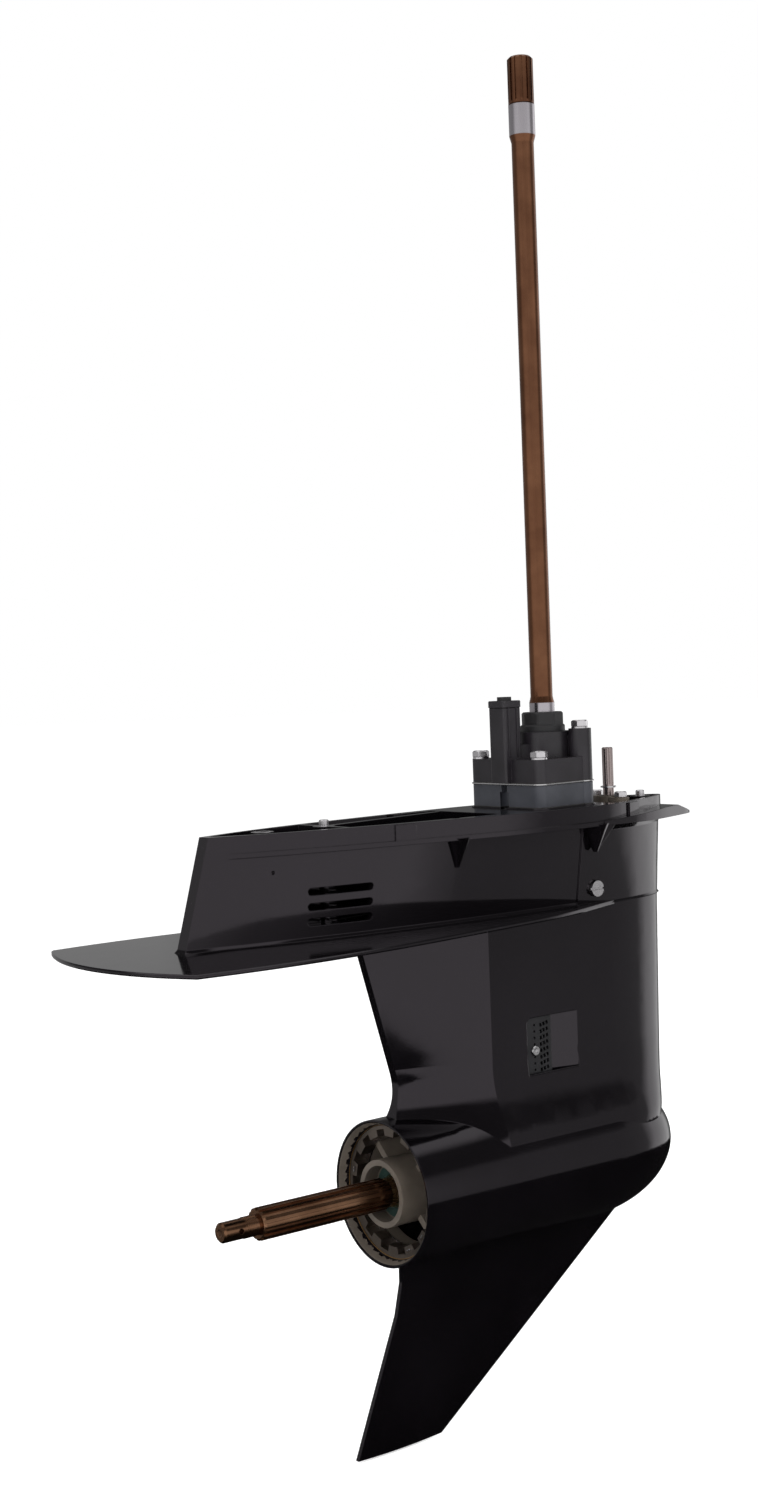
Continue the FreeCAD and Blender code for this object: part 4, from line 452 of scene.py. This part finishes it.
MATERIALS = {
    "gloss_black": gloss_paint(),
    "pump_plastic": moulded_plastic("pump_plastic", (0.009, 0.0075, 0.0095, 1), (0.016, 0.0135, 0.017, 1),
                                    (0.28, 0.42)),
    "base_plastic": moulded_plastic("base_plastic", (0.03, 0.032, 0.04, 1), (0.048, 0.05, 0.06, 1),
                                    edge=0.8),
    "screen_plastic": moulded_plastic("screen_plastic",
                                      (0.007, 0.007, 0.008, 1), (0.012, 0.0115, 0.0135, 1)),
    "carrier_paint": moulded_plastic("carrier_paint", (0.075, 0.062, 0.05, 1), (0.12, 0.1, 0.082, 1)),
    "nut_metal": metal("nut_metal", (0.2, 0.17, 0.15, 1), (0.34, 0.29, 0.25, 1), (0.4, 0.55)),
    "stainless": metal("stainless", (0.55, 0.54, 0.55, 1), (0.7, 0.69, 0.7, 1), (0.18, 0.3)),
    "bolt_steel": metal("bolt_steel", (0.66, 0.64, 0.66, 1), (0.85, 0.83, 0.85, 1), (0.22, 0.36)),
    "shaft_steel": metal("shaft_steel", (0.13, 0.055, 0.03, 1), (0.23, 0.105, 0.056, 1), (0.2, 0.34),
                         ALONG_Z, zones=(("Z", 577.0, 603.0, LAND_SILVER), ("Z", 60.0, 89.0, LAND_SILVER),
                                         ("X", 66.0, 90.0, ROD_SILVER))),
    # The propeller shaft's thrust cone gets a brighter gold band, a painted highlight.
    "prop_steel": metal("prop_steel", (0.2, 0.1, 0.055, 1), (0.4, 0.22, 0.13, 1), (0.2, 0.34), ALONG_X,
                        zones=(("X", -194.5, -182.0, CONE_PAINTED_HIGHLIGHT),)),
    "gear_steel": metal("gear_steel", (0.16, 0.16, 0.17, 1), (0.26, 0.26, 0.27, 1), (0.28, 0.42)),
    "bearing_steel": metal("bearing_steel", (0.4, 0.4, 0.42, 1), (0.52, 0.52, 0.54, 1), (0.15, 0.28)),
    "bronze": metal("bronze", (0.4, 0.24, 0.1, 1), (0.52, 0.33, 0.16, 1), (0.25, 0.4)),
    "rubber": rubber("rubber", (0.009, 0.009, 0.01, 1), (0.018, 0.017, 0.018, 1)),
    "seal_rubber": rubber("seal_rubber", (0.008, 0.022, 0.018, 1), (0.014, 0.036, 0.03, 1)),
    "gasket_fibre": moulded_plastic("gasket_fibre", (0.03, 0.028, 0.026, 1), (0.05, 0.047, 0.044, 1),
                                    (0.6, 0.8)),
}


def dress_nodes():
    """Each CAD node takes the material of its slot in the record."""
    for node in NODES.values():
        for place in node.material_slots:
            place.material = MATERIALS[place.material.name.split(".")[0]]


def make_prop_details():
    place = along_prop()
    piece_from("prop_shaft_thread", lambda shape: thread(shape, place, THREAD_RADIUS, PROP_TIP_X + 19.5,
                                                         SPLINE_REAR_X - 0.8, 1.6, 0.45),
               "propeller_shaft", "prop_steel")
    piece_from("prop_shaft_centre", lambda shape: turned(
        shape, [(3.4, PROP_TIP_X), (3.4, PROP_TIP_X - 0.12), (2.6, PROP_TIP_X - 0.12),
                (2.2, PROP_TIP_X)], place, ring=True), "propeller_shaft", "prop_steel")
    piece_from("nut_seat_ring", lambda shape: turned(
        shape, [(NUT_RADIUS - 0.3, NUT_REAR_X - 0.1), (NUT_RADIUS - 0.1, NUT_REAR_X - 0.75),
                (NUT_RADIUS + 0.45, NUT_REAR_X - 0.85), (NUT_RADIUS + 0.35, NUT_REAR_X - 0.1)],
        place, sides=96, ring=True), "gearcase", "bronze")
    piece_from("mouth_cone", lambda shape: turned(
        shape,
        [(57.9, RIM_X + 0.5), (54.75, NUT_REAR_X - 0.1), (57.7, NUT_REAR_X - 0.1)],
        place, sides=96, ring=True), "gearcase", "carrier_paint")


def make_washer_tabs():
    """Ends of the tab washer that are bent down into the cover nut's notches."""
    def build(shape):
        for degrees in TAB_NOTCHES:
            angle = math.radians(degrees)
            out = Vector((0, math.sin(angle), math.cos(angle)))
            side = Vector((0, math.cos(angle), -math.sin(angle)))
            centre = Vector((0, 0, PROP_AXIS_Z)) + out * (NUT_INNER_RADIUS + TAB_CENTRE_OUT)
            loops = []
            for x, lift, half in TAB_SECTIONS:
                middle = centre + Vector((x, 0, 0)) + out * lift
                inward = out * TAB_THICKNESS
                loops.append([middle + side * half, middle + side * half - inward,
                              middle - side * half - inward, middle - side * half])
            bridge(shape, loops)
    piece_from("washer_tabs", build, "gearcase", "bolt_steel")


def make_bolts():
    def pump(shape):
        for place in PUMP_BOLTS:
            hex_bolt(shape, upright(*place), *PUMP_HEAD)
    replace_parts(piece_from("pump_bolts_detail", pump, "gearcase", "bolt_steel"), "pump_bolts")

    def retainer(shape):
        for place in RETAINER_BOLTS:
            hex_bolt(shape, upright(*place), *RETAINER_HEAD)
    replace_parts(piece_from("retainer_bolts_detail", retainer, "gearcase", "bolt_steel"), "retainer_bolts")


def make_screen_fittings():
    """The starboard screen's socket-headed screw, which runs through to its nut."""
    face = SCREEN_FACE_Y

    def screw(shape):
        place = out_of_side(SCREEN_SCREW_X, -face, SCREEN_SCREW_Z, -1)
        bridge(shape, [
            circle_loop(2.5, -2 * face + 0.3, place), circle_loop(2.5, 0.0, place),
            circle_loop(4.3, 0.0, place), circle_loop(4.3, 1.2, place), circle_loop(3.7, 1.8, place),
            hexagon_loop(4.4, 1.8, place), hexagon_loop(4.2, 0.5, place), circle_loop(0.6, 0.3, place),
        ])
    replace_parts(piece_from("screen_screw_detail", screw, "gearcase", "stainless"), "screen_screw")


def make_tower_cap():
    place = upright(TOWER_X, 0.0)
    piece_from("tower_cap", lambda shape: bridge(shape, [
        rounded_square(9.1, 2.0, 86.3, place), rounded_square(10.5, 2.6, 86.6, place),
        rounded_square(10.5, 2.6, 91.6, place), rounded_square(10.0, 2.3, 92.3, place),
        circle_loop(6.55, 92.3, place), circle_loop(6.55, 88.0, place),
    ], ring=True), "gearcase", "pump_plastic")

    def ribs(shape):
        for y in (-1, 1):
            for x in (TOWER_X - 4.6, TOWER_X + 4.6):
                loops = []
                for z, reach in ((44.0, 0.5), (45.0, 0.9), (85.0, 0.9), (86.4, 0.5)):
                    outer = y * (10.0 + reach)
                    inner = y * 9.6
                    loops.append([Vector((x - 0.9, inner, z)), Vector((x - 0.6, outer, z)),
                                  Vector((x + 0.6, outer, z)), Vector((x + 0.9, inner, z))])
                bridge(shape, loops)
    piece_from("tower_ribs", ribs, "gearcase", "pump_plastic")


def make_deck_details():
    """A machined ring on the deck's face, round the tab bolt."""
    piece_from("tab_bolt_rim", lambda shape: turned(
        shape, [(5.35, -0.6), (5.35, 0.12), (8.6, 0.12), (8.9, -0.2)], upright(TAB_BOLT_X, 0.0), ring=True),
        "gearcase", "bolt_steel")


def flat_disc(shape, radius, height, sides=64):
    bmesh.ops.create_circle(shape, cap_ends=True, radius=radius, segments=sides,
                            matrix=Matrix.Translation((0, 0, height)))


def glow_material(name, level):
    material = bpy.data.materials.new(name)
    material.use_nodes = True
    nodes = Nodes(material.node_tree)
    out = nodes.add("ShaderNodeOutputMaterial")
    glow = nodes.add("ShaderNodeEmission", Color=shade(1.0), Strength=level)
    nodes.join(glow.outputs[0], out.inputs["Surface"])
    return material


def stage_piece(name, mesh, material, reflections_only):
    piece = link(name, mesh)
    mesh.materials.append(material)
    piece.visible_glossy = reflections_only
    if reflections_only:
        piece.visible_camera = False
        piece.visible_diffuse = False
        piece.visible_transmission = False
        piece.visible_shadow = False


def sine(degrees):
    return math.sin(math.radians(degrees))


def make_dome():
    """Side lights from the floor to 20 degrees up, a dark gap, then a light overhead."""
    material = bpy.data.materials.new("studio_dome")
    material.use_nodes = True
    nodes = Nodes(material.node_tree)
    out = nodes.add("ShaderNodeOutputMaterial")
    where = nodes.add("ShaderNodeTexCoord").outputs["Object"]
    axes = nodes.add("ShaderNodeSeparateXYZ", Vector=where).outputs
    flat = maths(nodes, "SQRT", maths(nodes, "ADD", maths(nodes, "MULTIPLY", axes["X"], axes["X"]),
                                      maths(nodes, "MULTIPLY", axes["Y"], axes["Y"])), 0.0)
    ahead = maths(nodes, "DIVIDE", axes["X"], maths(nodes, "MAXIMUM", flat, 0.01))
    rise = maths(nodes, "DIVIDE", axes["Z"], DOME_RADIUS)
    flag = spread(nodes, ahead, SIDE_LEVEL, FLAG_LEVEL, sine(31), sine(38))
    bow = spread(nodes, ahead, 0.0, BOW_LEVEL - FLAG_LEVEL, sine(66), sine(76))
    side = maths(nodes, "ADD", flag, bow)
    port = spread(nodes, maths(nodes, "DIVIDE", axes["Y"], DOME_RADIUS), 1.0, 0.4, 0.3, 0.5)
    band = maths(nodes, "MULTIPLY", spread(nodes, rise, 0.0, 1.0, sine(-60), sine(-40)),
                 spread(nodes, rise, 1.0, 0.0, sine(17), sine(24)))
    low = maths(nodes, "MULTIPLY", band, maths(nodes, "MULTIPLY", side, port))
    high = maths(nodes, "MULTIPLY", spread(nodes, rise, 0.0, TOP_LEVEL, sine(42), sine(48)),
                 spread(nodes, rise, 1.0, 0.4, sine(76), sine(84)))
    gap = spread(nodes, rise, 0.0, GAP_LEVEL, sine(-60), sine(-40))
    level = maths(nodes, "MAXIMUM", maths(nodes, "ADD", low, high), gap)
    glow = nodes.add("ShaderNodeEmission", Color=shade(1.0), Strength=level)
    nodes.join(glow.outputs[0], out.inputs["Surface"])
    shape = bmesh.new()
    bmesh.ops.create_uvsphere(shape, u_segments=96, v_segments=48, radius=DOME_RADIUS)
    mesh = bpy.data.meshes.new("studio_dome")
    shape.to_mesh(mesh)
    shape.free()
    stage_piece("studio_dome", mesh, material, True)


def make_stage():
    low, high = CAD_BOX
    height = low.z - FLOOR_GAP
    mesh = bpy.data.meshes.new("floor")
    shape = bmesh.new()
    flat_disc(shape, FLOOR_SIZE, height)
    shape.to_mesh(mesh)
    shape.free()
    material = bpy.data.materials.new("floor_white")
    material.use_nodes = True
    nodes = Nodes(material.node_tree)
    out = nodes.add("ShaderNodeOutputMaterial")
    lit = nodes.add("ShaderNodeBsdfDiffuse", Color=shade(0.9))
    glow = nodes.add("ShaderNodeEmission", Color=shade(1.0), Strength=FLOOR_GLOW)
    dark = nodes.add("ShaderNodeEmission", Color=shade(1.0), Strength=0.0)
    path = nodes.add("ShaderNodeLightPath")
    seen = nodes.tree.nodes.new("ShaderNodeMixShader")
    nodes.join(path.outputs["Is Camera Ray"], seen.inputs[0])
    nodes.join(dark.outputs[0], seen.inputs[1])
    nodes.join(glow.outputs[0], seen.inputs[2])
    both = nodes.tree.nodes.new("ShaderNodeAddShader")
    nodes.join(lit.outputs[0], both.inputs[0])
    nodes.join(seen.outputs[0], both.inputs[1])
    nodes.join(both.outputs[0], out.inputs["Surface"])
    stage_piece("floor", mesh, material, False)

    table = bpy.data.meshes.new("dark_table")
    shape = bmesh.new()
    flat_disc(shape, TABLE_RADIUS, height + FLOOR_GAP / 2)
    shape.to_mesh(table)
    shape.free()
    stage_piece("dark_table", table, glow_material("dark_table", TABLE_LEVEL), True)


def make_world():
    world = bpy.data.worlds.new("studio")
    bpy.context.scene.world = world
    world.use_nodes = True
    nodes = Nodes(world.node_tree)
    out = nodes.add("ShaderNodeOutputWorld")
    path = nodes.add("ShaderNodeLightPath")
    seen = maths(nodes, "MAXIMUM", path.outputs["Is Camera Ray"], path.outputs["Is Glossy Ray"])
    seen = maths(nodes, "MAXIMUM", seen, path.outputs["Is Transmission Ray"])
    sky = nodes.add("ShaderNodeBackground", Color=shade(1.0), Strength=SKY_LEVEL)
    white = nodes.add("ShaderNodeBackground", Color=shade(1.0), Strength=WHITE_LEVEL)
    mixed = nodes.tree.nodes.new("ShaderNodeMixShader")
    nodes.join(seen, mixed.inputs[0])
    nodes.join(sky.outputs[0], mixed.inputs[1])
    nodes.join(white.outputs[0], mixed.inputs[2])
    nodes.join(mixed.outputs[0], out.inputs["Surface"])


def make_lamp(name, place, target, size, power):
    data = bpy.data.lights.new(name, "AREA")
    data.shape = "RECTANGLE"
    data.size = size[0]
    data.size_y = size[1]
    data.energy = power
    lamp = bpy.data.objects.new(name, data)
    bpy.context.scene.collection.objects.link(lamp)
    lamp.visible_glossy = False
    lamp.location = place
    lamp.rotation_euler = (Vector(target) - Vector(place)).to_track_quat("-Z", "Y").to_euler()


def make_lamps():
    for lamp in LAMPS:
        make_lamp(*lamp)


make_camera()
make_world()
make_lamps()
make_stage()
make_dome()
dress_nodes()
make_prop_details()
make_washer_tabs()
make_bolts()
make_screen_fittings()
make_tower_cap()
make_deck_details()
bpy.context.scene.view_settings.view_transform = "Standard"
